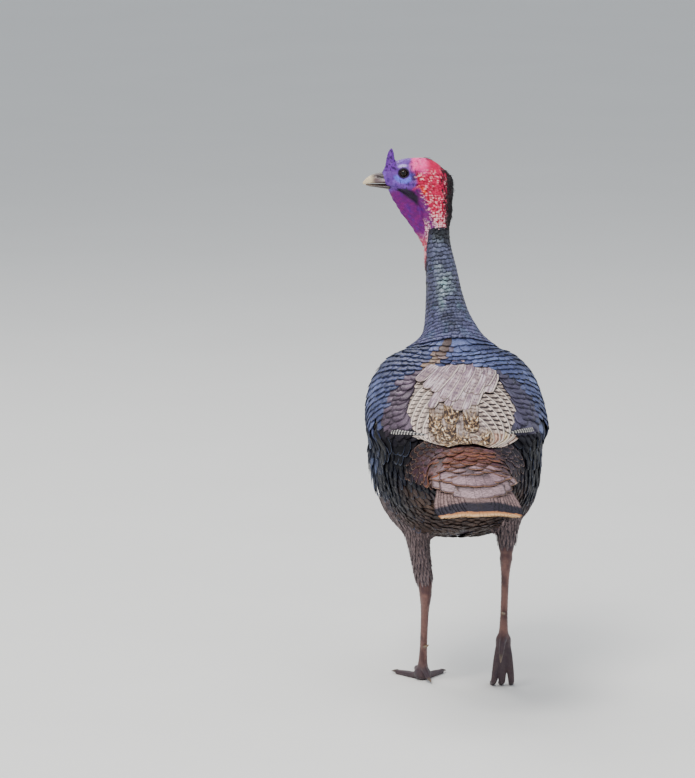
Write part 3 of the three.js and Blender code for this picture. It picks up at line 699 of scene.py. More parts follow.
def leg_skin(which):
    left = which == "l"
    fx, fy = LEFT_FOOT if left else RIGHT_FOOT
    g = Grid((0, -112, -3), (122, 100, 244), 1.5) if left else Grid((-116, 28, -3), (-36, 156, 286), 1.5)
    shank = limb(shank_keys((fx, fy), LIFT_L if left else LIFT_R, 63 if left else 27, 0 if left else -2), (1, 0, 0), 3 / 15, rnd=(0.4, 0.5), nt=120, na=40)
    drum = limb(THIGH_L if left else THIGH_R, (1, 0, 0), 3 / (13 if left else 12), rnd=(0.5, 0.25))
    A = g.distance(shank)
    B = g.distance(drum) + 3.6
    A = smin(A, B, 9)
    toes = []
    if left:
        for angle, length, r0, r1 in TOES_L:
            rings, d = left_toe(angle, length, r0, r1)
            cut = np.array([fx, fy, 4.9]) + d * (length + 4)
            toes.append((rings, cut, d))
            TIPS.append((cut - d * 1.5, d, 15.5, 3.9, 1.8))
        hind = [(fx, fy + 6, 25), (fx - 4, fy + 19, 18), (fx - 8, fy + 32, 9)]
        hd = unit(np.array([-0.28, 1, -0.3]))
        cut = np.array([fx - 8.6, fy + 34, 8])
        toes.append((toe_rings(hind, (1, 0, 0), 6, 4.4), cut, hd))
        TIPS.append((cut - hd * 1.5, hd, 12.5, 3.4, 1))
        pad = g.distance(ball((fx, fy - 3, 10.4), (14.5, 16, 11.8)))
    else:
        for out, reach, r0, r1 in TOES_R:
            tip_y = fy - 34 * reach
            d = unit(np.array([out * 0.012, -1, 0]))
            pts = [(fx + out * 0.25, fy, LIFT_R - 6), (fx + out * 0.6, fy - 3, 58), (fx + out * 0.85, fy - 6, 31), (fx + out, fy - 13, 11),
                   (fx + out * 1.1, tip_y, r1 * 0.92 - 1.4)]
            cut = np.array([fx + out * 1.1, tip_y - 2, 4.8])
            toes.append((toe_rings(pts, (1, 0, 0), r0, r1), cut, d))
            TIPS.append((cut - d * 1.5, d, 15.5, 3.6, 1.6))
        hd = unit(np.array([0.1, 0.3, -1]))
        cut = np.array([fx + 6.4, fy + 29, 63])
        toes.append((toe_rings([(fx, fy + 8, 92), (fx + 4, fy + 21, 80), (fx + 6, fy + 28, 66)], (1, 0, 0), 6, 4.2), cut, hd))
        TIPS.append((cut - hd * 1.5, hd, 13.5, 3.3, 0))
        pad = g.distance(ball((fx, fy, LIFT_R - 6), (13, 12, 14)))
    pts = g.points()
    for rings, cut, d in toes:
        T = g.distance(tube(rings))
        T = np.maximum(T, ((pts - cut) @ d).astype(np.float32))
        A = smin(A, T, 3.0)
    A = smin(A, pad, 4)
    z = g.axes()[2]
    top = 234 if left else 272
    A = np.maximum(A, (0 - z)[None, None, :])
    A = np.maximum(A, (z - top)[None, None, :])
    P, Q = g.surface(A)
    Q = outward(P, Q)
    n = unit(g.slope(A, P, 1.5))
    # plates: broad scutes down the front of the shank and along the toes' tops, small scales elsewhere
    front = n[:, 1] < 0.25
    up = clamp(n[:, 2])
    reach = np.hypot(P[:, 0] - fx, P[:, 1] - fy)
    lift = LIFT_L if left else LIFT_R
    on_shank = smooth(lift + 8, lift + 20, P[:, 2]) * smooth(lift + SHANK - 4, lift + SHANK - 14, P[:, 2])
    saw = lambda x: (x - np.floor(x))
    scute = saw(P[:, 2] / 7.2 + 0.12 * np.sin(P[:, 0] * 0.5))
    ridge = np.where(front, -0.55 * (smooth(0.0, 0.16, scute) * 0 + smooth(0.86, 1.0, scute)) + 0.3 * (1 - scute), 0)
    d = on_shank * ridge
    toe_plate = saw((reach if left else (P[:, 2] * 0.8 + reach)) / 4.6)
    on_toe = smooth(lift + 10, lift - 2, P[:, 2]) * (up if left else smooth(0.1, -0.3, n[:, 1]))
    d = d + on_toe * (-0.5 * smooth(0.8, 1.0, toe_plate) + 0.35 * (1 - toe_plate))
    b, s2, t = cells(np.stack([np.arctan2(P[:, 1] - fy, P[:, 0] - fx) * 8 / 2.6 + P[:, 0] / 5, P[:, 2] / 2.8], -1), 17, 0.5)
    small = np.where(front, 0.0, 1.0) * smooth(lift + SHANK + 8, lift + SHANK - 8, P[:, 2])
    d = d + small * 0.28 * (clamp(1 - (b / 0.6) ** 2) - 0.4)
    d = d * smooth(0.2, 1.6, P[:, 2])
    P = P + n * d[:, None]
    P[:, 2] = np.maximum(P[:, 2], 0.0)
    return P, Q


def join_solid(name, parts):
    """One closed mesh from overlapping closed ones."""
    objs = []
    for i, (P, Q) in enumerate(parts):
        objs.append(mesh_object(f"{name}_{i}", P, Q, np.full(len(Q), Q.shape[1])))
    base = objs[0]
    for other in objs[1:]:
        m = base.modifiers.new("join", "BOOLEAN")
        m.operation, m.solver, m.object = "UNION", "MANIFOLD", other
    deps = bpy.context.evaluated_depsgraph_get()
    me = bpy.data.meshes.new_from_object(base.evaluated_get(deps))
    me.name = name
    for o in objs:
        bpy.data.objects.remove(o)
    me.polygons.foreach_set("use_smooth", np.ones(len(me.polygons), bool))
    o = bpy.data.objects.new(name, me)
    bpy.context.scene.collection.objects.link(o)
    return o


def points_of(o):
    a = np.empty(len(o.data.vertices) * 3, np.float32)
    o.data.vertices.foreach_get("co", a)
    return a.reshape(-1, 3).astype(float) * 1000 - SHIFT


skin = join_solid("skin", [body_skin(), head_skin(), leg_skin("l"), leg_skin("r")])


# ---- materials ----------------------------------------------------------------
def material(name, roughness=0.5, **sockets):
    m = bpy.data.materials.new(name)
    m.use_nodes = True
    nt = m.node_tree
    bsdf = nt.nodes["Principled BSDF"]
    bsdf.inputs["Roughness"].default_value = roughness
    for k, v in sockets.items():
        bsdf.inputs[k.replace("_", " ")].default_value = v
    return m, nt, bsdf


class Net:
    """Short names for a material's nodes."""

    def __init__(self, nt):
        self.nt = nt

    def node(self, kind, **props):
        n = self.nt.nodes.new(kind)
        for k, v in props.items():
            setattr(n, k, v)
        return n

    def link(self, a, b):
        self.nt.links.new(a, b)

    def set(self, socket, v):
        if isinstance(v, bpy.types.NodeSocket):
            self.link(v, socket)
        else:
            socket.default_value = v

    def attr(self, name, out="Fac"):
        return self.node("ShaderNodeAttribute", attribute_name=name).outputs[out]

    def math(self, op, a, b=0.0, c=0.0, clamp_=False):
        n = self.node("ShaderNodeMath", operation=op, use_clamp=clamp_)
        for k, v in enumerate((a, b, c)):
            self.set(n.inputs[k], v)
        return n.outputs[0]

    def step(self, x, a, b, lo=0.0, hi=1.0):
        n = self.node("ShaderNodeMapRange", interpolation_type="SMOOTHSTEP")
        for k, v in zip(("Value", "From Min", "From Max", "To Min", "To Max"), (x, a, b, lo, hi)):
            self.set(n.inputs[k], v)
        return n.outputs[0]

    def mix(self, a, b, f, blend="MIX"):
        n = self.node("ShaderNodeMix", data_type="RGBA", blend_type=blend)
        ins = [i for i in n.inputs if i.enabled or True]
        self.set(n.inputs["Factor"], f)
        for k, v in ((6, a), (7, b)):
            self.set(n.inputs[k], v if isinstance(v, bpy.types.NodeSocket) else (*v, 1.0) if len(v) == 3 else v)
        return n.outputs[2]

    def noise(self, vec, scale, detail=2.0, rough=0.5, dist=0.0):
        n = self.node("ShaderNodeTexNoise")
        self.set(n.inputs["Vector"], vec)
        n.inputs["Scale"].default_value = scale
        n.inputs["Detail"].default_value = detail
        n.inputs["Roughness"].default_value = rough
        n.inputs["Distortion"].default_value = dist
        return n.outputs["Fac"]

    def voronoi(self, vec, scale, feature="F1", out="Distance"):
        n = self.node("ShaderNodeTexVoronoi", feature=feature)
        self.set(n.inputs["Vector"], vec)
        n.inputs["Scale"].default_value = scale
        return n.outputs[out]

    def vec(self, x=0.0, y=0.0, z=0.0):
        n = self.node("ShaderNodeCombineXYZ")
        for k, v in enumerate((x, y, z)):
            self.set(n.inputs[k], v)
        return n.outputs[0]

    def scaled(self, v, k):
        n = self.node("ShaderNodeVectorMath", operation="MULTIPLY")
        self.set(n.inputs[0], v)
        n.inputs[1].default_value = k if isinstance(k, tuple) else (k, k, k)
        return n.outputs[0]

    def times(self, c, k):
        return self.scaled(c, k)

    def coords(self, out="Object"):
        return self.node("ShaderNodeTexCoord").outputs[out]

    def bump(self, height, strength, distance, base=None):
        n = self.node("ShaderNodeBump")
        n.inputs["Strength"].default_value = strength
        n.inputs["Distance"].default_value = distance
        self.link(height, n.inputs["Height"])
        if base is not None:
            self.link(base, n.inputs["Normal"])
        return n.outputs[0]


def skin_material():
    m, nt, b = material("skin_bare", 0.46)
    b.inputs["Subsurface Weight"].default_value = 0.04
    b.inputs["Specular IOR Level"].default_value = 0.26
    b.inputs["Subsurface Radius"].default_value = (0.004, 0.0015, 0.001)
    n = Net(nt)
    tint = n.attr("tint", "Color")
    xyz = n.coords()
    spots = n.voronoi(xyz, 420.0)
    fine = n.noise(xyz, 900.0, 3.0, 0.6)
    broad = n.noise(xyz, 140.0, 2.0)
    c = n.mix(tint, n.mix(n.times(tint, 1.25), (0.55, 0.5, 0.62), 0.015), n.step(fine, 0.35, 0.75))
    c = n.mix(c, n.mix(tint, (0.0, 0.0, 0.0), 0.55), n.math("MULTIPLY", n.step(spots, 0.42, 0.12), n.attr("spots")))
    c = n.mix(c, n.mix(tint, (0.02, 0.0, 0.03), 0.35), n.step(broad, 0.62, 0.35, 0.0, 0.5))
    n.link(c, b.inputs["Base Color"])
    n.link(n.step(fine, 0.3, 0.8, 0.36, 0.6), b.inputs["Roughness"])
    h = n.math("ADD", n.math("MULTIPLY", n.noise(xyz, 1500.0, 2.0), 0.5), n.math("MULTIPLY", n.voronoi(xyz, 900.0), 0.6))
    n.link(n.bump(h, 0.35, 0.0006), b.inputs["Normal"])
    return m


def skin_tint(P, N):
    """Colours of the bare skin by place, and how spotted it is."""
    h = to_head(P)
    x, y, z = h[:, 0], np.abs(h[:, 1]), h[:, 2]
    n1, n2, n3 = noise3(P / 7.0, 21), noise3(P / 3.0, 22), noise3(P / 4.5, 27)
    wob = 5 * (noise3(P / 9.0, 23) - 0.5)
    face = srgb(107, 70, 150)
    blue = srgb(118, 122, 226)
    crown = srgb(238, 92, 150)
    red = srgb(186, 48, 80)
    pale = srgb(248, 190, 192)
    ear = srgb(232, 88, 50)
    fold = srgb(16, 4, 32)
    throat = srgb(99, 19, 104)
    snood = srgb(104, 60, 146)
    dusk = srgb(20, 13, 20)
    c = np.tile(face, (len(P), 1))
    c = mixc(c, srgb(126, 92, 180), smooth(0.45, 0.8, n1))
    c = mixc(c, srgb(66, 40, 112), smooth(0.55, 0.85, n3) * 0.7)
    # pale blue crescent under the eye, a painted highlight in pale lilac on the brow, dark lids and a dark line behind
    # the eye
    ex, ez = x - EYE[0], z - EYE[2]
    r, ang = np.hypot(ex * 0.92, ez), np.degrees(np.arctan2(ez, ex))
    cres = smooth(9.5, 11.5, r + 0.15 * wob) * smooth(20, 15.5, r) * smooth(-4, -34, ang) * smooth(-196, -158, np.where(ang > 0, ang - 360, ang))
    c = mixc(c, blue, cres * 0.95)
    c = mixc(c, srgb(196, 182, 232), smooth(10.0, 11.5, r) * smooth(16.5, 13.5, r) * smooth(36, 62, ang) * smooth(125, 96, ang) * 0.85)
    c = mixc(c, srgb(60, 34, 92), smooth(9.5, 12, r) * smooth(26, 16, r) * smooth(30, 12, np.abs(np.where(ang < 0, ang + 360, ang) - 186)) * 0.7)
    c = mixc(c, srgb(22, 13, 30), smooth(10.4, 8.4, r + 0.1 * wob) * smooth(9, 12, y))
    # crown, back of the head and the ear
    top = smooth(71, 61, x + wob) * smooth(872, 884, z + 0.25 * (60 - x) + wob)
    c = mixc(c, crown, top)
    c = mixc(c, srgb(250, 130, 178), top * smooth(0.5, 0.8, n2) * 0.6)
    rear = smooth(60, 51, x + wob - 0.10 * (z - 850))
    c = mixc(c, red, rear * (1 - top * smooth(30, 46, x)))
    c = mixc(c, ear, smooth(15, 8, np.hypot(x - 52, (z - 843) * 1.25) + wob) * smooth(12, 16, y))
    c = mixc(c, srgb(56, 18, 52), smooth(8, 4, np.hypot((x - 62) * 1.1, (z - 866)) + wob * 0.6) * 0.8)
    # under the jaw, the dewlap and the throat
    below = smooth(852, 840, z + 0.2 * (x - 70))
    web = smooth(51, 58, x + 0.42 * (860 - z) + wob * 0.4) * below
    c = mixc(c, throat, web)
    c = mixc(c, srgb(72, 36, 122), web * smooth(0.5, 0.85, n1) * 0.6)
    c = mixc(c, srgb(132, 36, 100), web * smooth(0.6, 0.3, n3) * 0.35)
    c = mixc(c, srgb(196, 70, 116), web * smooth(6, 2, x - (98 - 0.515 * (844 - z))) * smooth(846, 830, z) * 0.0)
    # painted shade: a near-black purple band along the crease under the jaw
    dip = z - (842.5 - 0.50 * (86 - x) + 3.0 * np.sin((x - 60) / 9.0))
    c = mixc(c, fold, smooth(5.0 + 8.0 * smooth(86, 68, x), 1.5 + 4.0 * smooth(86, 68, x), np.abs(dip) + wob * 0.9 + 0.12 * clamp(60 - x, 0, 99) + 0.20 * clamp(x - 82, 0, 99)) * smooth(50, 58, x) * smooth(99, 86, x) * 0.97)
    # the warty neck: red, with darker red between the warts as painted shade, and whitish tops that are partly paler
    # skin and partly a painted highlight
    zone = wart_zone(h)
    cx = np.interp(P[:, 2], [640, 694, 762, 828, 870], [10, 14, 20, 24, 40])
    bump = wrap(np.arctan2(P[:, 1] + 190, P[:, 0] - cx) * 23, P[:, 2])
    wart_pale_and_highlight = zone * smooth(0.50, 0.85, bump + 0.5 * (n2 - 0.5)) * smooth(0.30, 0.62, n1 + 0.4 * smooth(850, 800, z))
    c = mixc(c, srgb(132, 20, 40), zone * smooth(0.35, 0.05, bump) * 0.85)
    c = mixc(c, pale, wart_pale_and_highlight * 0.9)
    # the lower warts' pale tops, likewise partly paler skin and partly a painted highlight
    low = smooth(812, 776, z)
    c = mixc(c, srgb(240, 204, 208), zone * low * smooth(0.25, 0.65, bump) * 0.85)
    c = mixc(c, srgb(50, 30, 40), low * (1 - zone) * (1 - web) * smooth(30, 18, x) * 0.85)
    # snood and forehead
    sn = smooth(90, 94.5, x) * smooth(874, 882, z)
    c = mixc(c, snood, sn)
    c = mixc(c, srgb(48, 22, 74), sn * smooth(0.52, 0.66, noise3(P / 2.4, 26)) * 0.9)
    # the nape is edged with dark bristles
    c = mixc(c, dusk, smooth(7, 0, x + wob * 0.6 - 0.12 * clamp(z - 850, 0, 60)) * smooth(908, 888, z) * 0.95)
    # the bare strip down the front of the neck, and the skin that only shows between feathers
    body = smooth(772, 744, z)
    strip = smooth(0.72, 0.90, (P[:, 0] - cx) / np.maximum(1, np.hypot(P[:, 0] - cx, P[:, 1] + 190 + 0.42 * clamp(730 - P[:, 2], 0, 200))))
    c = mixc(c, mixc(np.tile(srgb(54, 46, 52), (len(P), 1)), mixc(np.tile(srgb(176, 84, 96), (len(P), 1)), srgb(226, 168, 172), smooth(0.45, 0.7, n2)), strip * smooth(636, 660, P[:, 2])), body)
    legs = smooth(262, 244, P[:, 2])
    shank = mixc(np.tile(srgb(112, 84, 78), (len(P), 1)), srgb(78, 56, 54), smooth(0.35, 0.75, noise3(P / (9, 9, 22), 24)))
    shank = mixc(shank, srgb(62, 54, 58), smooth(42, 16, P[:, 2] - np.where(P[:, 0] < 0, 66, 0)) * 0.85)
    shank = mixc(shank, srgb(136, 102, 90), smooth(0.2, -0.6, N[:, 1]) * 0.35)
    c = mixc(c, shank, legs)
    spots = smooth(40, 60, x) * smooth(836, 850, z) * 0.9
    return c, spots


SKIN_P = points_of(skin)
_n = np.empty(len(skin.data.vertices) * 3, np.float32)
skin.data.vertices.foreach_get("normal", _n)
SKIN_N = _n.reshape(-1, 3).astype(float)
_c, _s = skin_tint(SKIN_P, SKIN_N)
put(skin, "tint", _c, "FLOAT_COLOR")
put(skin, "spots", _s)
skin.data.materials.clear()
skin.data.materials.append(skin_material())


# ---- eyes --------------------------------------------------------------------
def eye_material():
    m, nt, b = material("eye_wet", 0.06)
    b.inputs["Specular IOR Level"].default_value = 0.30
    n = Net(nt)
    r = n.attr("away")
    xyz = n.coords()
    iris = n.mix((0.030, 0.012, 0.006), (0.012, 0.005, 0.003), n.step(n.noise(xyz, 1800.0, 2.0), 0.3, 0.7))
    c = n.mix((0.001, 0.001, 0.0015), iris, n.step(r, 0.40, 0.46))
    c = n.mix(c, (0.006, 0.004, 0.005), n.step(r, 0.70, 0.80))
    n.link(c, b.inputs["Base Color"])
    return m


EYE_MAT = eye_material()


def eye(name, s):
    c = from_head(np.array([[EYE[0], s * EYE[1], EYE[2]]]))[0]
    look = unit(HEAD_R @ np.array([0.10, s * 1.0, 0.02]))
    q = Vector((0, 0, 1)).rotation_difference(Vector(look)).to_matrix()
    t, a = np.meshgrid(np.linspace(0, 1, 41) * PI, np.arange(56) / 56 * 2 * PI, indexing="ij")
    # a cornea that stands a little proud of the ball
    r = EYE_R - 0.35 + 0.35 * smooth(0.62, 0.0, t)
    P = np.stack([np.sin(t) * np.cos(a), np.sin(t) * np.sin(a), np.cos(t)], -1) * r[..., None]
    away = np.concatenate([[0.0], np.repeat(np.linspace(0, 1, 41)[1:-1] * PI, 56), [PI]])
    V, T = tube(P @ np.array(q).T + c)
    o = shape_object(name, (V, T), EYE_MAT)
    put(o, "away", away)
    return o


# ---- feathers: thin closed vanes over the skin ------------------------------------
RNG = np.random.RandomState(7)
NECK_BASE = np.array([0.0, -130.0, 560.0])  # the body's feathers run away from here
PIECES = []


def vane_faces(nu, nv):
    """Quads of one closed vane. Its top is a grid of points, and its underside shares the rim."""
    top = np.arange((nv + 1) * (nu + 1)).reshape(nv + 1, nu + 1)
    low = top.copy()
    low[1:-1, 1:-1] = (nv + 1) * (nu + 1) + np.arange((nv - 1) * (nu - 1)).reshape(nv - 1, nu - 1)
    q = lambda g, flip: np.stack([g[:-1, :-1], g[:-1, 1:], g[1:, 1:], g[1:, :-1]][::-1 if flip else 1], -1).reshape(-1, 4)
    return np.concatenate([q(top, False), q(low, True)]), (nv + 1) * (nu + 1) + (nv - 1) * (nu - 1)


def body_uv(p):
    """A place on an unwrap of the whole skin: along the body, up the neck and down the legs, and round it."""
    round_ = np.arctan2(p[..., 0], p[..., 2] - 425) / (2 * PI) + 0.5
    up = smooth(575, 600, p[..., 2])
    down = smooth(262, 240, p[..., 2])
    u = 0.02 + 0.52 * clamp((p[..., 1] + 280) / 640)
    v = 0.02 + 0.96 * round_
    nu_ = 0.58 + 0.18 * clamp((p[..., 2] - 575) / 330)
    nv_ = 0.02 + 0.96 * (np.arctan2(p[..., 1] + 185, p[..., 0] - 15) / (2 * PI) + 0.5)
    lx = np.where(p[..., 0] > 0, 70, -78)
    ly = np.where(p[..., 0] > 0, 52, 104)
    du = 0.80 + 0.08 * clamp((262 - p[..., 2]) / 120) + np.where(p[..., 0] > 0, 0.0, 0.1)
    dv = 0.02 + 0.96 * (np.arctan2(p[..., 1] - ly, p[..., 0] - lx) / (2 * PI) + 0.5)
    u = np.where(up > 0.5, nu_, np.where(down > 0.5, du, u))
    v = np.where(up > 0.5, nv_, np.where(down > 0.5, dv, v))
    return np.stack([u, v], -1)


SHAPES = {
    # width of a vane from root to tip
    "square": [0.42, 0.78, 0.95, 1.0, 1.0, 0.97, 0.78],
    "round": [0.40, 0.74, 0.93, 1.0, 0.97, 0.82, 0.46],
    "oval": [0.42, 0.76, 0.94, 1.0, 1.0, 0.97, 0.90],
    "long": [0.55, 0.85, 0.98, 1.0, 0.98, 0.90, 0.55],
    "lance": [0.50, 0.80, 0.95, 0.92, 0.74, 0.46, 0.12],
    "quill": [0.30, 0.62, 0.88, 1.0, 1.0, 0.94, 0.60],
}


def vanes(name, C, N, L, W, tint, mat, nu=6, nv=6, shape="square", sweep=0.32, camber=0.5, thick=0.5, dip=None, field=None, roll=None,
          uv_patch=0.003, uv_at=None, extra=None, hug=True, ride="root"):
    """A piece of many vanes. C holds their middle lines from root to tip, (F, nv + 1, 3), and N the way out there."""
    F = len(C)
    L, W = np.broadcast_to(L, F).astype(float), np.broadcast_to(W, F).astype(float)
    t = np.linspace(0, 1, nv + 1)
    u = np.linspace(-1, 1, nu + 1)
    T = unit(np.gradient(C, axis=1))
    S = unit(np.cross(T, N))
    w = np.interp(t, np.linspace(0, 1, 7), SHAPES[shape])
    tt, uu = np.meshgrid(t, u, indexing="ij")
    ww = np.interp(tt, t, w)
    jag = 1 + 0.05 * (RNG.rand(F, nv + 1, nu + 1) - 0.5)
    x = W[:, None, None] * ww * uu * jag
    f = tt - sweep * (W / L)[:, None, None] * (ww * uu) ** 2 * tt
    f = clamp(f) * nv
    i = np.minimum(nv - 1, np.floor(f)).astype(int)
    fr = (f - i)[..., None]
    fi = np.arange(F)[:, None, None]
    at = lambda A: A[fi, i] * (1 - fr) + A[fi, i + 1] * fr
    Ct, St, Nt = at(C), unit(at(S)), unit(at(N))
    P = Ct + St * x[..., None]
    bend = camber * uu**2
    if roll is not None:
        bend = bend + roll[:, None, None] * uu
    if hug:
        A = E_ALL if field is None else field
        base = -BODY.sample(A, Ct)  # how deep the middle line lies
        want = base + bend
        for _ in range(2):
            g = BODY.slope(A, P)
            e = BODY.sample(A, P) + want
            move = np.clip(e / np.maximum(0.3, np.einsum("...i,...i->...", g, g)), -7, 7)
            P = P - g * move[..., None]
        Np = unit(BODY.slope(A, P, 4.0))
        Np = unit(Np + 0.6 * Nt)
    else:
        Np = Nt
        P = P - Nt * (bend * W[:, None, None] * 0.06)[..., None] if dip is None else P - Nt * (dip[:, None, None] * uu**2)[..., None]
    rim = (1 - uu**2) * np.minimum(1, 4 * tt * (1 - tt) + 0.35)
    quill = np.exp(-((uu * W[:, None, None]) / 0.9) ** 2) * 0.3 * (1 - 0.6 * tt)
    top = P + Np * (rim * thick * 0.5 + quill)[..., None]
    low = P - Np * (rim * thick * 0.5)[..., None]
    quads, nvert = vane_faces(nu, nv)
    V = np.concatenate([top.reshape(F, -1, 3), low[:, 1:-1, 1:-1].reshape(F, -1, 3)], 1)
    spread = lambda a: np.concatenate([np.broadcast_to(a, (F, nv + 1, nu + 1)).reshape(F, -1), np.broadcast_to(a, (F, nv + 1, nu + 1))[:, 1:-1, 1:-1].reshape(F, -1)], 1)
    Q = (quads[None] + (np.arange(F) * nvert)[:, None, None]).reshape(-1, 4)
    # cut into pieces of less than 190,000 triangles
    per = max(1, int(190000 / (2 * len(quads))))
    uv0 = body_uv(C[:, 0]) if uv_at is None else uv_at
    rnd = RNG.rand(F)
    fu, fv = spread(uu[None]), spread(tt[None])
    for k, start in enumerate(range(0, F, per)):
        sl = slice(start, min(F, start + per))
        n = sl.stop - sl.start
        q = (quads[None] + (np.arange(n) * nvert)[:, None, None]).reshape(-1, 4)
        o = mesh_object(name if F <= per else f"{name}_{k}", V[sl].reshape(-1, 3), q, np.full(len(q), 4))
        put(o, "fu", fu[sl])
        put(o, "fv", fv[sl])
        put(o, "rnd", np.repeat(rnd[sl], nvert))
        put(o, "fl", np.repeat(L[sl], nvert))
        put(o, "fw", np.repeat(W[sl], nvert))
        put(o, "tint", np.repeat(np.broadcast_to(tint, (F, 3))[sl], nvert, 0), "FLOAT_COLOR")
        for key, val in (extra or {}).items():
            put(o, key, np.repeat(np.broadcast_to(val, F)[sl], nvert))
        patch = np.stack([fu[sl] * 0.5, fv[sl] - 0.5], -1) * uv_patch
        if np.ndim(uv_patch):
            patch = np.stack([fu[sl] * 0.5 * uv_patch[0], (fv[sl] - 0.5) * uv_patch[1]], -1)
        put_uv(o, "OFBake", (uv0[sl][:, None] + patch).reshape(-1, 2))
        o.data.materials.append(mat)
        PIECES.append(o)
    return V


def run_back(tip, L, G, d_tip, d_root, nv=6, field=None, bow=1.0):
    """Middle lines marched back from the tips against the lie G, sinking from d_tip to d_root under the outline."""
    F = len(tip)
    L, d_tip, d_root = (np.broadcast_to(v, F).astype(float) for v in (L, d_tip, d_root))
    p = settle(tip, d_tip, field)
    C = np.empty((F, nv + 1, 3))
    C[:, nv] = p
    for i in range(nv - 1, -1, -1):
        q = i / nv
        p = p - G(p) * (L / nv)[:, None]
        p = settle(p, d_tip + (d_root - d_tip) * (1 - q) ** bow, field, 2)
        C[:, i] = p
    return C, face_out(C, field)


def away(p):
    """The lie of the feathers on the body: away from the base of the neck, down the thighs, and back along the rump."""
    d = unit(p - NECK_BASE)
    leg = smooth(6, -4, np.minimum(BODY.sample(E_LEG_L, p), BODY.sample(E_LEG_R, p)) - BODY.sample(E_TRUNK, p))
    leg = np.maximum(leg * smooth(400, 350, p[..., 2]), smooth(300, 280, p[..., 2]))
    down = unit(np.stack([-0.12 * np.sign(p[..., 0]), np.full(p.shape[:-1], 0.34), np.full(p.shape[:-1], -0.93)], -1))
    d = unit(d * (1 - leg[..., None]) + down * leg[..., None])
    rump = smooth(165, 215, p[..., 1]) * smooth(340, 370, p[..., 2])
    d = unit(d * (1 - rump[..., None]) + np.array([0, 0.96, -0.26]) * rump[..., None])
    n = face_out(p)
    return unit(d - n * np.einsum("...i,...i->...", d, n)[..., None])


E_RING = smin(E_TRUNK, E_NECK, 20)


def ring(phi, samples=220):
    """The closed line on the body at distance phi from the base of the neck."""
    B = unit(np.array([0, 0.90, -0.44]))
    e1, e2 = np.array([1.0, 0, 0]), np.cross(B, np.array([1.0, 0, 0]))
    psi = np.arange(samples) / samples * 2 * PI
    side = np.cos(psi)[:, None] * e1 + np.sin(psi)[:, None] * e2
    th = np.linspace(0.02, 2.9, 110)
    pt = lambda a: NECK_BASE + phi * (np.cos(a)[..., None] * B + np.sin(a)[..., None] * side[:, None])
    e = BODY.sample(E_RING, pt(np.broadcast_to(th, (samples, 110))))
    first = np.argmax(e > 0, axis=1)
    ok = (e.max(1) > 0) & (first > 0)
    lo, hi = th[np.maximum(0, first - 1)], th[first]
    for _ in range(12):
        mid = (lo + hi) / 2
        em = BODY.sample(E_RING, pt(mid[:, None]))[:, 0]
        lo, hi = np.where(em < 0, mid, lo), np.where(em < 0, hi, mid)
    return pt(hi[:, None])[:, 0], ok


def along(line, pitch, phase):
    """Points about pitch apart along a closed line."""
    L = np.concatenate([line, line[:1]])
    seg = np.linalg.norm(np.diff(L, axis=0), axis=1)
    s = np.concatenate([[0], np.cumsum(seg)])
    n = max(6, int(round(s[-1] / pitch)))
    at = ((np.arange(n) + phase) / n * s[-1]) % s[-1]
    return np.stack([np.interp(at, s, L[:, k]) for k in range(3)], -1)


def drop(xy, depth):
    """Points over the plan places xy that lie depth under the plumage's outline, found from above."""
    zs = np.arange(700.0, 330.0, -4.0)
    P = np.concatenate([np.repeat(xy[..., None, :], len(zs), -2), np.broadcast_to(zs[:, None], xy.shape[:-1] + (len(zs), 1))], -1)
    e = BODY.sample(E_ALL, P)
    k = np.argmax(e < 0, -1)
    p = np.concatenate([xy, zs[k][..., None]], -1)
    return settle(p, depth, steps=3)


def shield(p):
    """How far a point lies inside the barred shield of the folded wings on the back, in mm; negative outside."""
    top = np.interp(np.abs(p[..., 0]), [0, 40, 65, 85, 96, 101, 106, 112], [6, 6, 15, 34, 66, 98, 122, 400])
    bottom = np.interp(p[..., 0], [-112, -99, -80, -60, -47, -8, 14, 42, 60, 101, 112], [106, 120, 146, 178, 194, 197, 197, 172, 155, 122, 106])
    return np.where(p[..., 2] > 425, np.minimum(p[..., 1] - top, bottom - p[..., 1]), -99.0)


def strip(x):
    """The line on the back where the folded wings end and the rump and flanks begin."""
    return np.interp(np.abs(x), [0, 60, 86, 105, 126, 143, 152], [199, 154, 138, 124, 103, 78, 55])


def scatter(P, gap, seed=1):
    """Picks points of P at random that lie at least gap apart."""
    cell = float(gap.max())
    box, keep = {}, []
    Q = np.floor(P / cell).astype(int)
    for i in np.random.RandomState(seed).permutation(len(P)):
        a, b, c = Q[i]
        near = [j for da in (-1, 0, 1) for db in (-1, 0, 1) for dc in (-1, 0, 1) for j in box.get((a + da, b + db, c + dc), ())]
        if near and np.linalg.norm(P[near] - P[i], axis=1).min() < gap[i]:
            continue
        box.setdefault((a, b, c), []).append(i)
        keep.append(i)
    return np.array(keep)


# tips of the mantle's and breast's feathers, row by row, and how dark each row's line is there
tips, rowness = [], []
phi, k = 84.0, 0
while phi < 330:
    line, ok = ring(phi)
    if ok.mean() > 0.9:
        tips.append(along(line[ok], 14.0, RNG.rand()))
        rowness.append(np.full(len(tips[-1]), phi))
    phi += 11.5
    k += 1
tips, rowness = np.concatenate(tips), np.concatenate(rowness)
tips = tips + (RNG.rand(*tips.shape) - 0.5) * (4.2 + 2.0 * smooth(-80, -130, tips[:, 1]))[:, None]
tips = settle(tips, 0.0, steps=4)
rowness = noise3(np.stack([tips[:, 0] / 75, rowness * 0.61, tips[:, 2] / 75], -1), 77)
_rows = (tips[:, 2] > 436) | (tips[:, 1] < -112)
off_body = (tips[:, 2] > 596) & (tips[:, 1] < -60) | (tips[:, 1] > 176)
_under = (tips[:, 1] > strip(tips[:, 0]) - 9) & (tips[:, 2] > 425)
keep = _rows & ~off_body & ~_under & (shield(tips) < mix(2.0, -10.0, smooth(72, 98, np.abs(tips[:, 0])))) & (np.abs(BODY.sample(E_ALL, tips)) < 3)
tips, rowness = tips[keep], rowness[keep]
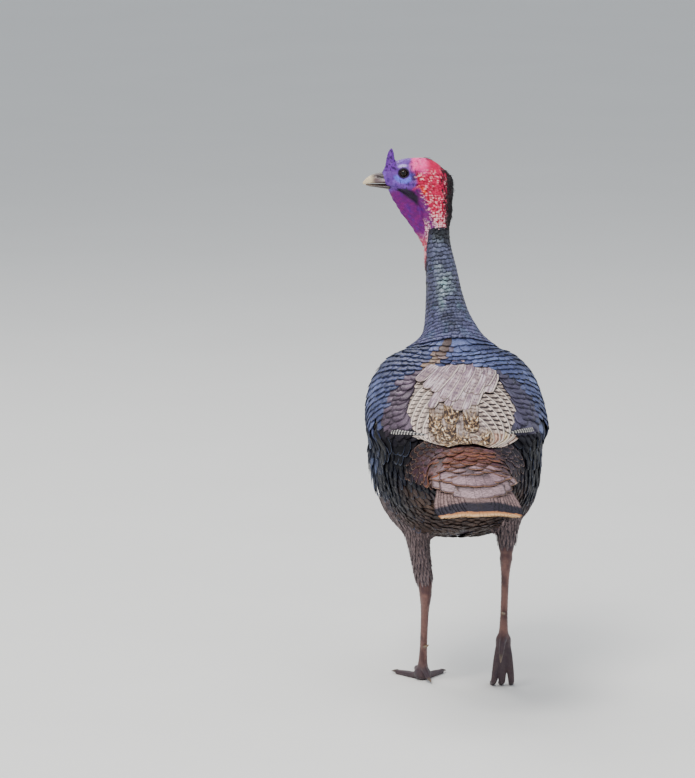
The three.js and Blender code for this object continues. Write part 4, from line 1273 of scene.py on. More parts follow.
# one even row ends the inner coverts above the barred strip
_x = np.concatenate([np.arange(100.0, 146.0, 8.0), -np.arange(92.0, 146.0, 8.0)])
_x = _x + (RNG.rand(len(_x)) - 0.5) * 3
_e = drop(np.stack([_x, strip(_x) - np.where(_x < -106, 0.0, 5.5) + 2 * RNG.rand(len(_x))], -1), 0.0)
tips, rowness = np.concatenate([tips, _e]), np.concatenate([rowness, np.full(len(_e), 0.3)])

# the flanks, belly, rump and vent are looser: their tips are strewn over the surface
_P, _ = BODY.surface(E_ALL)
_N = face_out(_P)
_leg = np.minimum(BODY.sample(E_LEG_L, _P), BODY.sample(E_LEG_R, _P)) - BODY.sample(E_TRUNK, _P)
_in = ((_P[:, 2] <= 438) & (_P[:, 1] >= -114) | (_P[:, 1] > 172) | (_P[:, 1] > strip(_P[:, 0]) + 5)) & (_P[:, 1] < 322) & (shield(_P) < 0)
_in &= (_P[:, 2] > 262) | (BODY.sample(E_TRUNK, _P) < 1.5)
_in &= ~((_leg < -3) & (_P[:, 2] < 330)) & ((_N[:, 1] < 0.9) | (_P[:, 1] < 300))
_P = _P[_in]
_gap = 11.5 - 1.5 * smooth(340, 300, _P[:, 2])
loose = _P[scatter(_P, _gap)]


def plume_look(p):
    """Colour and size of the body's feathers by place: tint, darkness of the tip band, pale edging that is partly a
    painted blue sheen, length, half width.
    """
    x, y, z = p[:, 0], p[:, 1], p[:, 2]
    ax = np.abs(x)
    n1, n2, n3 = noise3(p / 34.0, 31), noise3(p / 15.0, 32), noise3(p / (60.0, 60.0, 60.0), 33)
    F = len(p)
    mantle = srgb(72, 78, 112)
    steel = srgb(104, 112, 152)
    bronze = srgb(98, 84, 98)
    plum = srgb(68, 66, 86)
    breast = srgb(70, 56, 50)
    copper = srgb(96, 66, 50)
    flank = srgb(34, 37, 50)
    black = srgb(16, 15, 20)
    belly = srgb(58, 46, 42)
    rump = srgb(58, 40, 46)
    thigh = srgb(68, 60, 64)
    # lighter steel-blue patches by noise, partly a painted sheen on the mantle
    c = mixc(np.tile(mantle, (F, 1)), steel, smooth(0.3, 0.75, n1))
    c = mixc(c, srgb(52, 56, 88), smooth(0.45, 0.8, n3) * 0.8)
    band = np.full(F, 1.0)
    fringe = np.full(F, 0.0)
    L, W = np.full(F, 36.0), np.full(F, 11.0)
    # plain purplish-bronze coverts beside the shield
    inner = smooth(46, 30, np.hypot(np.maximum(ax - np.interp(y, [15, 34, 66, 98, 140], [65, 85, 96, 101, 104]), 0), np.maximum(24 - y, 0) * 3.2)) * (y > -20)
    inner = inner * smooth(414, 426, z)
    inner = smooth(0.25, 0.75, inner + 0.5 * (n2 - 0.5))
    c = mixc(c, mixc(np.tile(bronze, (F, 1)), plum, smooth(20, -40, x) * 0.9), inner)
    c = mixc(c, c * 0.78, inner * smooth(0.4, 0.7, n2))
    band = band * (1 - 0.92 * inner)
    L, W = L + 14 * inner, W + 3 * inner
    # a few warm feathers where the mantle meets the shield's crown
    _q = clamp(((x - 19) * 38 + (y + 42) * 48) / (38**2 + 48**2))
    warm = smooth(15, 9, np.hypot(x - 19 - 38 * _q, y + 42 - 48 * _q))
    c = mixc(c, mixc(np.tile(srgb(100, 86, 84), (F, 1)), srgb(158, 134, 118), clamp(_q * 0.8 + 0.5 * (n2 - 0.4))), warm)
    band = band * (1 - 0.5 * warm)
    # the breast and the front
    front = smooth(-95, -165, y) * smooth(585, 520, z)
    c = mixc(c, mixc(np.tile(breast, (F, 1)), copper, smooth(0.45, 0.85, n1) * 0.7), front)
    band = band * (1 - 0.12 * front)
    # the flank under the wing: blue-black, with noise patches of a lighter blue that are a painted sheen
    low = smooth(440, 424, z)
    c = mixc(c, mixc(np.tile(flank, (F, 1)), srgb(72, 80, 106), smooth(0.45, 0.8, n2)), low * (1 - front))
    rear = low * smooth(40, 90, y)
    c = mixc(c, black, rear * 0.85)
    fringe = fringe + low * (1 - front) * (0.12 + 0.88 * (RNG.rand(F) < 0.30)) * mix(1.0, 0.6, rear)
    L, W = L + 16 * low, W - 1.6 * low
    under = smooth(330, 292, z) * smooth(-40, 40, y)
    c = mixc(c, belly, np.maximum(under, smooth(300, 280, z) * 0.8))
    band = band * (1 - 0.6 * under)
    # the rump and the base of the tail
    back = smooth(150, 172, y) * smooth(372, 392, z)
    c = mixc(c, mixc(np.tile(rump, (F, 1)), copper, smooth(190, 235, y) * 0.4), back)
    # painted shadow: black just below the line where the folded wings end, under the shield's edge
    c = mixc(c, black, smooth(0, 6, y - strip(x) - 2) * smooth(205, 180, y) * smooth(372, 392, z) * 0.95)
    fringe = fringe * (1 - back)
    vent = smooth(120, 190, y) * smooth(372, 350, z)
    c = mixc(c, mixc(np.tile(srgb(46, 38, 38), (F, 1)), srgb(78, 60, 50), n2), vent)
    band = band * (1 - 0.5 * vent)
    fringe = fringe * (1 - 0.7 * vent)
    leg = smooth(4, -6, np.minimum(BODY.sample(E_LEG_L, p), BODY.sample(E_LEG_R, p)) - BODY.sample(E_TRUNK, p)) * smooth(372, 320, z)
    c = mixc(c, thigh, leg * smooth(352, 276, z + 26 * (n2 - 0.5)))
    band = band * (1 - 0.8 * leg)
    L, W = L - 14 * leg, W - 2.6 * leg
    c = c * (0.74 + 0.52 * RNG.rand(F))[:, None] * mix(1.0, 0.84, smooth(-10, -70, y) * smooth(500, 550, z))[:, None]
    return c, band, fringe, L, W


def barbs(n, fu, fv, fl, fw, rnd, pitch=1.1):
    """Fine lines that run out and forward from a vane's quill, from 0 to 1."""
    run = n.math("ADD", n.math("MULTIPLY", fv, fl), n.math("MULTIPLY", n.math("MULTIPLY", n.math("ABSOLUTE", fu), fw), -0.85))
    v = n.vec(n.math("DIVIDE", run, pitch), n.math("MULTIPLY", fu, 1.2), n.math("MULTIPLY", rnd, 91.0))
    return n.noise(v, 1.0, 2.0, 0.6)


def feather_parts(n, wide=1.5):
    fu, fv, fl, fw, rnd = (n.attr(k) for k in ("fu", "fv", "fl", "fw", "rnd"))
    side = n.math("MULTIPLY", n.math("SUBTRACT", 1.0, n.math("ABSOLUTE", fu)), fw)
    tip = n.math("MULTIPLY", n.math("SUBTRACT", 1.0, fv), fl)
    edge = n.math("SMOOTH_MIN", n.math("MULTIPLY", side, wide), tip, 2.5)
    quill = n.math("MULTIPLY", n.math("ABSOLUTE", fu), fw)
    return fu, fv, fl, fw, rnd, side, tip, edge, quill


def plume_material(name, rough=0.42, metal=0.15, dark=(0.006, 0.007, 0.017), pale=(0.14, 0.17, 0.27), wide=3.2, width=4.2, gloss_level=0.42):
    m, nt, b = material(name, rough)
    b.inputs["Metallic"].default_value = metal
    b.inputs["Specular IOR Level"].default_value = gloss_level
    n = Net(nt)
    fu, fv, fl, fw, rnd, side, tip, edge, quill = feather_parts(n, wide)
    tint = n.attr("tint", "Color")
    xyz = n.coords()
    barb = barbs(n, fu, fv, fl, fw, rnd)
    c = n.mix(n.times(tint, 0.60), n.times(tint, 1.32), n.step(barb, 0.3, 0.7))
    streak = n.noise(n.vec(n.math("DIVIDE", n.math("MULTIPLY", fv, fl), 16.0), n.math("DIVIDE", n.math("MULTIPLY", fu, fw), 1.7), n.math("MULTIPLY", rnd, 43.0)), 1.0, 2.0, 0.5)
    c = n.mix(c, n.mix(n.times(tint, 0.50), n.times(tint, 1.65), n.step(streak, 0.38, 0.62)), n.math("MULTIPLY", n.attr("inner"), 0.75))
    # painted sheen: the colour shifts toward teal in noise patches, as strongly as each feather's sheen attribute asks
    sheen_noise = n.noise(xyz, 55.0, 2.0)
    c = n.mix(c, n.scaled(c, (0.86, 1.12, 1.0)), n.math("MULTIPLY", n.step(sheen_noise, 0.50, 0.68), n.attr("green")))
    # a lighter bar before the dark tip, and darker towards the root, where the next feather shades it
    c = n.mix(c, n.times(c, 1.35), n.math("MULTIPLY", n.step(tip, width * 2.3, width * 1.3), n.attr("band")))
    c = n.mix(c, n.times(c, 0.35), n.math("MULTIPLY", n.step(tip, 12.0, 24.0), n.math("ADD", 0.25, n.math("MULTIPLY", n.attr("band"), 0.75))))
    wob = n.math("MULTIPLY", n.math("SUBTRACT", barb, 0.5), 3.4)
    band = n.step(n.math("ADD", edge, wob), width, width * 0.45)
    c = n.mix(c, dark, n.math("MULTIPLY", band, n.attr("band")))
    # a pale line along the vane's edge, partly a painted blue sheen
    line = n.step(n.math("ADD", n.math("MULTIPLY", edge, 0.62), n.math("MULTIPLY", wob, 0.6)), 1.6, 0.6)
    c = n.mix(c, pale, n.math("MULTIPLY", line, n.attr("fringe")))
    c = n.mix(c, n.times(c, 1.25), n.step(quill, 0.6, 0.25))
    n.link(c, b.inputs["Base Color"])
    n.link(n.step(barb, 0.3, 0.7, rough + 0.12, rough - 0.08), b.inputs["Roughness"])
    n.link(n.bump(barb, 0.55, 0.0006), b.inputs["Normal"])
    return m


PLUME = plume_material("plumage")
_c, _band, _fringe_sheen, _L, _W = plume_look(tips)
_z, _y = tips[:, 2], tips[:, 1]
_L = _L * (0.90 + 0.20 * RNG.rand(len(tips)))
_edge = smooth(30, 8, -shield(tips)) * smooth(20, 60, _y) * 1.2  # these dip under the shield's sides
_band = _band * (0.28 + 0.62 * smooth(0.36, 0.56, rowness))
_flat = smooth(46, 30, -shield(tips)) * smooth(10, 40, _y) * smooth(414, 430, _z)
C, N = run_back(tips, _L, away, 0.1 + (1.3 - 1.0 * _flat) * RNG.rand(len(tips)) + _edge, 4.6 - 1.6 * _flat + _edge, 6)
_green_sheen = smooth(-60, -120, _y) * 0.6 + smooth(0.45, 0.7, noise3(tips / 25, 44)) * 0.35
vanes("contour", C, N, _L, _W, _c, PLUME, 6, 6, "oval", sweep=0.62, thick=0.36, roll=(RNG.rand(len(tips)) - 0.5) * (1.1 - 0.95 * _flat),
      extra={"band": _band, "fringe": _fringe_sheen, "green": _green_sheen, "inner": _flat})
print("body feathers", len(tips))

LOOSE = plume_material("plumage_loose", 0.52, 0.06, wide=1.5, width=3.4, gloss_level=0.16)
_c, _band, _fringe_sheen, _L, _W = plume_look(loose)
_x, _y, _z = loose.T
_rumpdeep = smooth(140, 160, _y) * smooth(300, 240, _y) * smooth(380, 400, _z) * smooth(104, 84, np.abs(_x)) * 6.0
_lift = smooth(50, 110, _y) * smooth(180, 150, _y) * smooth(430, 400, _z) * smooth(300, 340, _z) * smooth(70, 95, np.abs(_x))
_out = smooth(438, 424, _z) * smooth(312, 376, _z) * smooth(105, 130, _x) * smooth(-110, -50, _y) * smooth(150, 100, _y) * (2.5 + 2.0 * RNG.rand(len(loose)))
_L = _L * (0.82 + 0.36 * RNG.rand(len(loose))) + 8 * _lift
_vent = smooth(180, 240, _y) * smooth(380, 360, _z)
_L = _L - 6 * _vent
C, N = run_back(loose, _L, away, -0.4 + 1.6 * RNG.rand(len(loose)) + _rumpdeep - 2.6 * _lift * RNG.rand(len(loose)) - _out, 4.8 + _rumpdeep - 0.75 * _out, 8)
vanes("flank_plumes", C, N, _L, _W, _c, LOOSE, 6, 8, "oval", sweep=1.15, thick=0.34, roll=(RNG.rand(len(loose)) - 0.5) * 1.6,
      extra={"band": _band * 0.7, "fringe": _fringe_sheen, "green": 0.0})
print("loose feathers", len(loose))


# ---- the neck's feathers -----------------------------------------------------------
def limb_point(table, s, a, side=(1, 0, 0)):
    c = table(s)
    e = 1e-3
    d = unit(table(np.minimum(1, s + e))[..., :3] - table(np.maximum(0, s - e))[..., :3])
    side = np.array(side, float)
    u = unit(side - d * (d @ side)[..., None])
    v = np.cross(d, u)
    return c[..., :3] + u * (np.cos(a) * c[..., 3])[..., None] + v * (np.sin(a) * c[..., 4])[..., None], d


def rows_round(table, s0, s1, pitch, spacing, jit=0.25):
    """Points in staggered rings along a limb, with the limb's own direction there."""
    s = np.linspace(0, 1, 400)
    mid = table(s)[:, :3]
    run = np.concatenate([[0], np.cumsum(np.linalg.norm(np.diff(mid, axis=0), axis=1))])
    a0, a1 = np.interp([s0, s1], s, run)
    P, D = [], []
    for k, r in enumerate(np.arange(min(a0, a1), max(a0, a1), pitch)):
        sk = float(np.interp(r, run, s))
        c = table(sk)
        n = max(5, int(round(PI * (c[3] + c[4]) / spacing)))
        a = (np.arange(n) + 0.5 * (k % 2) + jit * (RNG.rand(n) - 0.5)) / n * 2 * PI
        ss = np.clip(np.interp(r + jit * pitch * 0.6 * (RNG.rand(n) - 0.5), run, s), 0, 1)
        p, d = limb_point(table, ss, a)
        P.append(p)
        D.append(d)
    return np.concatenate(P), np.concatenate(D)


NECK_AT = rows(NECK)
ntip, _ = rows_round(NECK_AT, 0.06, 0.80, 7.8, 7.0, 0.7)
ntip = settle(ntip, 0.0, steps=3)
_mid = np.stack([np.interp(ntip[:, 2], [k[2] for k in NECK], [k[i] for k in NECK]) for i in (0, 1)], -1)
_fwd = (ntip[:, 0] - _mid[:, 0]) / np.interp(ntip[:, 2], [k[2] for k in NECK], [k[3] for k in NECK])  # +1 at the front edge, under the bill
_bare = (_fwd > 0.95 - 0.5 * smooth(742, 780, ntip[:, 2])) & (ntip[:, 2] > 650)
_bare |= ntip[:, 2] > 776 - 22 * _fwd
keep = ~_bare & (ntip[:, 2] > 566) & (np.abs(BODY.sample(E_ALL, ntip)) < 3)
ntip, _fwd = ntip[keep], _fwd[keep]


def down_neck(p):
    s = np.linspace(0, 1, 200)
    m = NECK_AT(s)[:, :3]
    z = p[..., 2]
    d = unit(np.gradient(m, axis=0))
    d = -np.stack([np.interp(z, m[:, 2], d[:, k]) for k in range(3)], -1)
    spread = unit(p - NECK_BASE)
    w = smooth(600, 560, z)
    d = unit(d * (1 - w[..., None]) + spread * w[..., None])
    n = face_out(p)
    return unit(d - n * np.einsum("...i,...i->...", d, n)[..., None])


_z = ntip[:, 2]
_size = smooth(790, 600, _z)
_L = mix(17.0, 30.0, _size) * (0.9 + 0.2 * RNG.rand(len(ntip)))
_W = mix(5.8, 8.0, _size)
_n1 = noise3(ntip / 18.0, 51)
# a paler greyish tone in noise patches along the neck's middle, between its front and back edges, is a painted sheen;
# the darker tone toward those edges is painted shade
_c = mixc(np.tile(srgb(94, 97, 120), (len(ntip), 1)), srgb(130, 140, 150), smooth(0.35, 0.75, _n1) * smooth(0.75, 0.3, np.abs(_fwd + 0.1)))
_c = mixc(_c, srgb(72, 70, 92), smooth(0.4, 0.9, np.abs(_fwd)) * 0.6)
_c = mixc(_c, srgb(98, 98, 132), smooth(650, 600, _z) * 0.85)
_c = mixc(_c, srgb(18, 16, 20), smooth(730, 760, _z - 14 * _fwd - 4 + 26 * (_n1 - 0.5)) * 0.9)
_c = mixc(_c, srgb(50, 52, 70), smooth(0.55, 0.15, np.abs(_fwd)) * smooth(592, 604, _z) * smooth(640, 624, _z) * 0.75)
_c = _c * (1 - 0.45 * (RNG.rand(len(ntip)) < 0.16))[:, None]
_c = _c * (0.8 + 0.4 * RNG.rand(len(ntip)))[:, None]
C, N = run_back(ntip, _L, down_neck, 0.1 + 0.22 * RNG.rand(len(ntip)), 2.1, 5)
NECKMAT = plume_material("plumage_neck", 0.46, 0.12, wide=2.6, width=2.3, gloss_level=0.36)
_band = (0.12 + 0.48 * smooth(0.40, 0.58, noise3(ntip * np.array([0.02, 0.02, 0.09]), 52))) * (1 - 0.75 * smooth(660, 620, _z))
_band = _band + 0.35 * smooth(0.75, 0.35, np.abs(_fwd + 0.25)) * smooth(640, 655, _z) * smooth(720, 705, _z)
vanes("neck_plumes", C, N, _L, _W, _c, NECKMAT, 4, 5, "oval", sweep=0.60, roll=(RNG.rand(len(ntip)) - 0.5) * 0.2, camber=0.2, thick=0.2,
      extra={"band": _band, "fringe": 0.0, "green": 0.8 * smooth(738, 722, _z)})
print("neck feathers", len(ntip))


# ---- the drumsticks' short feathers ---------------------------------------------------
for tag, keys, s0, s1 in (("l", THIGH_L, 0.26, 1.0), ("r", THIGH_R, 0.22, 1.0)):
    tab = rows(keys)
    p, _ = rows_round(tab, s0, s1, 7.6, 7.0, 0.5)
    p = settle(p, 0.0, steps=3)
    lim = 176 if tag == "l" else 248
    p = p[(np.abs(BODY.sample(E_ALL, p)) < 3) & (p[:, 2] > lim) & (p[:, 2] < 352) & (BODY.sample(E_TRUNK, p) > 1)]
    m = tab(np.linspace(0, 1, 200))[:, :3]
    dm = unit(np.gradient(m, axis=0))

    def down_leg(q, m=m, dm=dm):
        d = np.stack([np.interp(-q[..., 2], -m[:, 2], dm[:, k]) for k in range(3)], -1)
        n = face_out(q)
        return unit(d - n * np.einsum("...i,...i->...", d, n)[..., None])

    z = p[:, 2]
    small = smooth(300, 200 if tag == "l" else 260, z)
    L, W = mix(30.0, 17.0, small), mix(6.0, 3.6, small)
    L = L * (0.85 + 0.3 * RNG.rand(len(p)))
    c = mixc(np.tile(srgb(88, 76, 76), (len(p), 1)), srgb(114, 100, 100), noise3(p / 12.0, 61))
    c = mixc(c, srgb(46, 42, 48), smooth(290, 345, z) * 0.8)
    c = c * (0.75 + 0.5 * RNG.rand(len(p)))[:, None]
    C, N = run_back(p, L, down_leg, 0.2 + 1.2 * RNG.rand(len(p)), 3.2, 5)
    vanes(f"leg_plumes_{tag}", C, N, L, W, c, LOOSE, 4, 5, "lance", camber=0.2, thick=0.4, extra={"band": 0.25, "fringe": 0.15, "green": 0.0})
    print("leg feathers", len(p))


# ---- the folded wings' long feathers ----------------------------------------------------
def curve(points, n):
    """n + 1 places along a smooth line through points, (F, m, d), evenly spread by its parameter."""
    P = np.asarray(points, float)
    m = P.shape[1] - 1
    t = np.linspace(0, m, n + 1)
    i = np.minimum(m - 1, np.floor(t)).astype(int)
    f = (t - i)[None, :, None]
    at = lambda k: P[:, np.clip(i + k, 0, m)]
    a, b, c, d = at(-1), at(0), at(1), at(2)
    m0, m1 = (c - a) / 2, (d - b) / 2
    return (2 * f**3 - 3 * f**2 + 1) * b + (f**3 - 2 * f**2 + f) * m0 + (-2 * f**3 + 3 * f**2) * c + (f**3 - f**2) * m1


def length_of(C):
    return np.linalg.norm(np.diff(C, axis=1), axis=2).sum(1)


def atlas(n, cols, u0, v0, du, dv):
    """Centres of n side-by-side islands for feathers that carry a pattern."""
    i = np.arange(n)
    return np.stack([u0 + (i % cols + 0.5) * du, v0 + (i // cols + 0.5) * dv], -1)


def shield_material():
    m, nt, b = material("plumage_wing", 0.56)
    b.inputs["Specular IOR Level"].default_value = 0.22
    dark, light = tuple(srgb(24, 18, 22)), tuple(srgb(226, 199, 178))
    n = Net(nt)
    fu, fv, fl, fw, rnd, side, tip, edge, quill = feather_parts(n)
    ou = n.math("MULTIPLY", fu, n.attr("outer"))
    pat, cream, thin = n.attr("pat"), n.attr("cream"), n.attr("thin")
    barb = barbs(n, fu, fv, fl, fw, rnd, 1.3)
    run = n.math("ADD", tip, n.math("MULTIPLY", side, -0.55))
    place = n.vec(n.math("DIVIDE", run, 9.6), n.math("DIVIDE", side, 7.0), n.math("MULTIPLY", rnd, 57.0))
    wob = n.math("MULTIPLY", n.math("SUBTRACT", n.noise(place, 1.0, 2.0), 0.5), 5.0)
    wave = n.math("SINE", n.math("MULTIPLY", n.math("ADD", n.math("ADD", run, wob), n.math("MULTIPLY", rnd, 9.6)), 2 * PI / 9.6))
    at = n.math("MULTIPLY", thin, -0.55)
    bars = n.step(wave, n.math("SUBTRACT", at, 0.10), n.math("ADD", at, 0.16))
    vane = n.step(ou, -0.25, 0.25)
    tint = n.attr("tint", "Color")
    # plain ground: pinkish grey-brown, finely speckled, with pale streaks that follow the edge
    speck = n.noise(n.vec(n.math("DIVIDE", run, 1.8), n.math("DIVIDE", side, 2.6), n.math("MULTIPLY", rnd, 31.0)), 1.0, 3.0, 0.7)
    plain = n.mix(n.mix(tint, (0, 0, 0), 0.30), n.mix(tint, light, 0.30), n.step(speck, 0.40, 0.60))
    streak = n.noise(n.vec(n.math("DIVIDE", tip, 30.0), n.math("DIVIDE", side, 2.6), n.math("MULTIPLY", rnd, 71.0)), 1.0, 1.5, 0.5)
    plain = n.mix(plain, (0.78, 0.68, 0.72), n.math("MULTIPLY", n.step(streak, 0.53, 0.62), 0.7))
    plain = n.mix(plain, n.mix(tint, (0, 0, 0), 0.6), n.math("MULTIPLY", n.step(streak, 0.46, 0.38), 0.7))
    strong = n.mix(n.mix(dark, tint, 0.08), n.mix(light, (0.86, 0.72, 0.66), 0.6), bars)
    c = n.mix(plain, strong, n.math("MULTIPLY", pat, n.step(ou, -0.30, 0.10, 0.30, 1.0)))
    # each vane's own shadowed inner part, then its cream margin and the dark line inside it
    inside = n.math("SUBTRACT", 1.0, n.attr("plain"))
    c = n.mix(c, (0.012, 0.008, 0.010), n.math("MULTIPLY", n.step(side, 7.4, 9.2), n.math("MULTIPLY", inside, 0.85)))
    buff = n.mix(n.mix(tuple(srgb(232, 206, 164)), tuple(srgb(222, 176, 156)), n.step(rnd, 0.4, 0.6)), tuple(srgb(70, 54, 50)), n.math("MULTIPLY", n.step(side, 4.4, 5.4), n.step(side, 7.6, 6.6)))
    c = n.mix(c, buff, n.math("MULTIPLY", n.step(n.math("ADD", tip, wob), 50.0, 36.0), n.attr("buff")))
    c = n.mix(c, (0.85, 0.72, 0.63), n.math("MULTIPLY", n.math("MULTIPLY", n.step(side, 3.6, 2.8), vane), cream))
    c = n.mix(c, dark, n.math("MULTIPLY", n.math("MULTIPLY", n.step(side, 3.2, 3.8), n.step(side, 5.0, 4.4)), n.math("MULTIPLY", vane, 0.55)))
    # a dark hairline at each vane's very edge: a painted shadow line between overlapping feathers
    c = n.mix(c, dark, n.math("MULTIPLY", n.step(side, 0.7, 0.3), 0.7))
    blotch = n.noise(n.vec(n.math("DIVIDE", tip, 6.0), n.math("DIVIDE", n.math("MULTIPLY", fu, fw), 4.2), n.math("MULTIPLY", rnd, 17.0)), 1.0, 3.0, 0.6)
    gold = n.mix(tuple(srgb(160, 130, 98)), tuple(srgb(48, 35, 32)), n.step(blotch, 0.44, 0.54))
    gold = n.mix(gold, (0.82, 0.72, 0.58), n.step(blotch, 0.42, 0.36))
    c = n.mix(c, gold, n.math("MULTIPLY", n.step(n.math("ADD", tip, n.math("MULTIPLY", wob, 2.0)), 62.0, 30.0), n.attr("gold")))
    c = n.mix(c, n.mix(light, (1, 0.9, 0.75), 0.3), n.math("MULTIPLY", n.step(tip, 3.0, 1.6), n.math("MULTIPLY", cream, 0.8)))
    c = n.mix(c, n.times(c, 0.82), n.step(barb, 0.65, 0.35))
    n.link(c, b.inputs["Base Color"])
    n.link(n.step(barb, 0.3, 0.7, 0.6, 0.4), b.inputs["Roughness"])
    n.link(n.bump(barb, 0.5, 0.0006), b.inputs["Normal"])
    return m


def flight_material():
    m, nt, b = material("plumage_flight", 0.45)
    b.inputs["Specular IOR Level"].default_value = 0.4
    n = Net(nt)
    fu, fv, fl, fw, rnd, side, tip, edge, quill = feather_parts(n)
    barb = barbs(n, fu, fv, fl, fw, rnd, 1.3)
    run = n.math("ADD", tip, n.math("MULTIPLY", side, -0.4))
    wave = n.math("SINE", n.math("MULTIPLY", n.math("ADD", run, n.math("MULTIPLY", rnd, 1.5)), 2 * PI / 8.2))
    dark = n.mix((0.010, 0.009, 0.011), (0.035, 0.031, 0.034), n.step(barb, 0.3, 0.7))
    c = n.mix(dark, tuple(srgb(186, 182, 178)), n.math("MULTIPLY", n.step(wave, 0.15, 0.45), n.step(n.math("ABSOLUTE", fu), 0.10, 0.22, 0.35, 1.0)))
    c = n.mix(c, dark, n.step(n.math("DIVIDE", tip, fl), 0.55, 0.75, 0.0, 0.8))
    n.link(c, b.inputs["Base Color"])
    n.link(n.bump(barb, 0.5, 0.0006), b.inputs["Normal"])
    return m


SECONDARY, PRIMARY = shield_material(), flight_material()

# The wings' long feathers show as nested arcs round the low middle of the back: each bows out from under the mantle and in again.
NSEC = 9
RIM = np.array([[-14, 2], [44, -2], [90, 46], [106, 102], [46, 153]], float)
HUB = np.array([0.0, 199.0])
for s, tag in ((1, "l"), (-1, "r")):
    k = np.arange(NSEC)[::-1].astype(float)  # outermost first, innermost on top
    q = k / (NSEC - 1)
    half = mix(15.0, 19.0, q)
    size = 0.26 + 0.74 * q - (half - 2) / 138 + 0.012 * (RNG.rand(NSEC) - 0.5)
    rim = RIM if s > 0 else RIM + np.array([[0, 0], [0, 0], [0, 0], [0, 2], [14, 14]])
    pts = HUB + (rim[None] - HUB) * size[:, None, None]
    pts[:, :, 0] *= s
    pts += (RNG.rand(NSEC, 5, 2) - 0.5) * 2.4
    nv = 34
    plan = curve(pts, nv)
    t = np.linspace(0, 1, nv + 1)[None]
    layer = 0.62 * k[:, None] + (0.3 if s > 0 else 0.0)
    depth = mix(2.4, -1.4, smooth(0, 0.25, t)) + layer - 2.2 * smooth(0.70, 1.0, t)
    C = drop(plan, depth)
    N = face_out(C)
    tint = mixc(np.tile(srgb(172, 146, 150), (NSEC, 1)), srgb(160, 140, 132), q)
    tint = tint * (0.82 + 0.36 * RNG.rand(NSEC))[:, None]
    pat = 0.55 + 0.45 * smooth(0.15, 0.5, q) if s < 0 else 0.70 + 0.30 * smooth(0.3, 0.9, q)
    L = length_of(C)
    vanes(f"secondaries_{tag}", C, N, L, half, tint, SECONDARY, 12, nv, "long", sweep=0.55, camber=0.12, thick=0.42,
          roll=np.full(NSEC, -0.15 * s), extra={"outer": float(s), "pat": pat, "cream": 0.9, "thin": 0.35 if s < 0 else 1.15, "plain": 0.35,
                                             "gold": smooth(0.55, 0.2, q) * (0.5 if s < 0 else 1.0), "buff": smooth(0.05, 0.4, q) * (0.9 if s < 0 else 0.0)},
          uv_patch=(0.070, 0.30), uv_at=atlas(NSEC, 12, 0.0, 0.0 if s > 0 else 0.34, 0.083, 0.33))

# broad, paler inner feathers of the right wing lie slanting over the crown of the shield, and blotched ones down its middle
_tp = [[50, 150, 36, 50, 14, 1], [-28, 187, -34, 96, 14, 1], [30, 172, 22, 76, 14, 1], [4, 197, 0, 96, 15, 1], [22, 136, 12, 44, 14, 1], [-12, 154, -14, 60, 14, 1]]
for i in range(15):
    _x0 = -46.0 + 7.2 * i
    _tp.append([_x0, (108 if i % 2 == 0 else 84) - 0.011 * (_x0 - 14) ** 2 + 9 * math.sin(2.4 * i) + 5 * math.sin(5.1 * i), _x0 - 54 * (0.25 + 0.75 * i / 14), -22, 10.5 + 1.5 * math.sin(1.7 * i), 0])
_tp += [[60, 54, 9, -24, 12, 0], [72, 32, 28, -23, 12, 0]]
_tp = np.array(_tp, float)
_n = len(_tp)
_bow = np.where(_tp[:, 5] > 0, 0.0, -7.0)
plan = curve(np.stack([_tp[:, 2:4], _tp[:, :2] * 0.5 + _tp[:, 2:4] * 0.5 + np.stack([_bow, 0 * _bow], -1), _tp[:, :2]], 1), 24)
t = np.linspace(0, 1, 25)[None]
_up = np.concatenate([0.35 * np.arange(6), 0.14 * np.arange(15) + np.where(np.arange(15) % 2, 1.2, 0), [0.6, 0.2]])
C = drop(plan, mix(5.2, -1.2, smooth(0.22, 0.55, t)) - _up[:, None] + 0.8 * _tp[:, 5:6] - 1.2 * _tp[:, 5:6] * smooth(0.6, 1.0, t))
tint = mixc(np.tile(srgb(154, 132, 150), (_n, 1)), srgb(150, 128, 116), _tp[:, 5]) * (0.76 + 0.40 * RNG.rand(_n))[:, None]
vanes("tertials", C, face_out(C), length_of(C), _tp[:, 4], tint, SECONDARY, 12, 24, "oval", sweep=1.15, camber=0.3, thick=0.5,
      extra={"outer": -1.0, "pat": 0.22 * RNG.rand(_n) + 0.35 * _tp[:, 5], "cream": 0.45 + 0.3 * RNG.rand(_n), "thin": 0.8, "gold": _tp[:, 5], "buff": 0.0, "plain": 1.0 - 0.4 * _tp[:, 5]},
      uv_patch=(0.036, 0.28), uv_at=atlas(_n, 23, 0.0, 0.69, 0.043, 0.3))

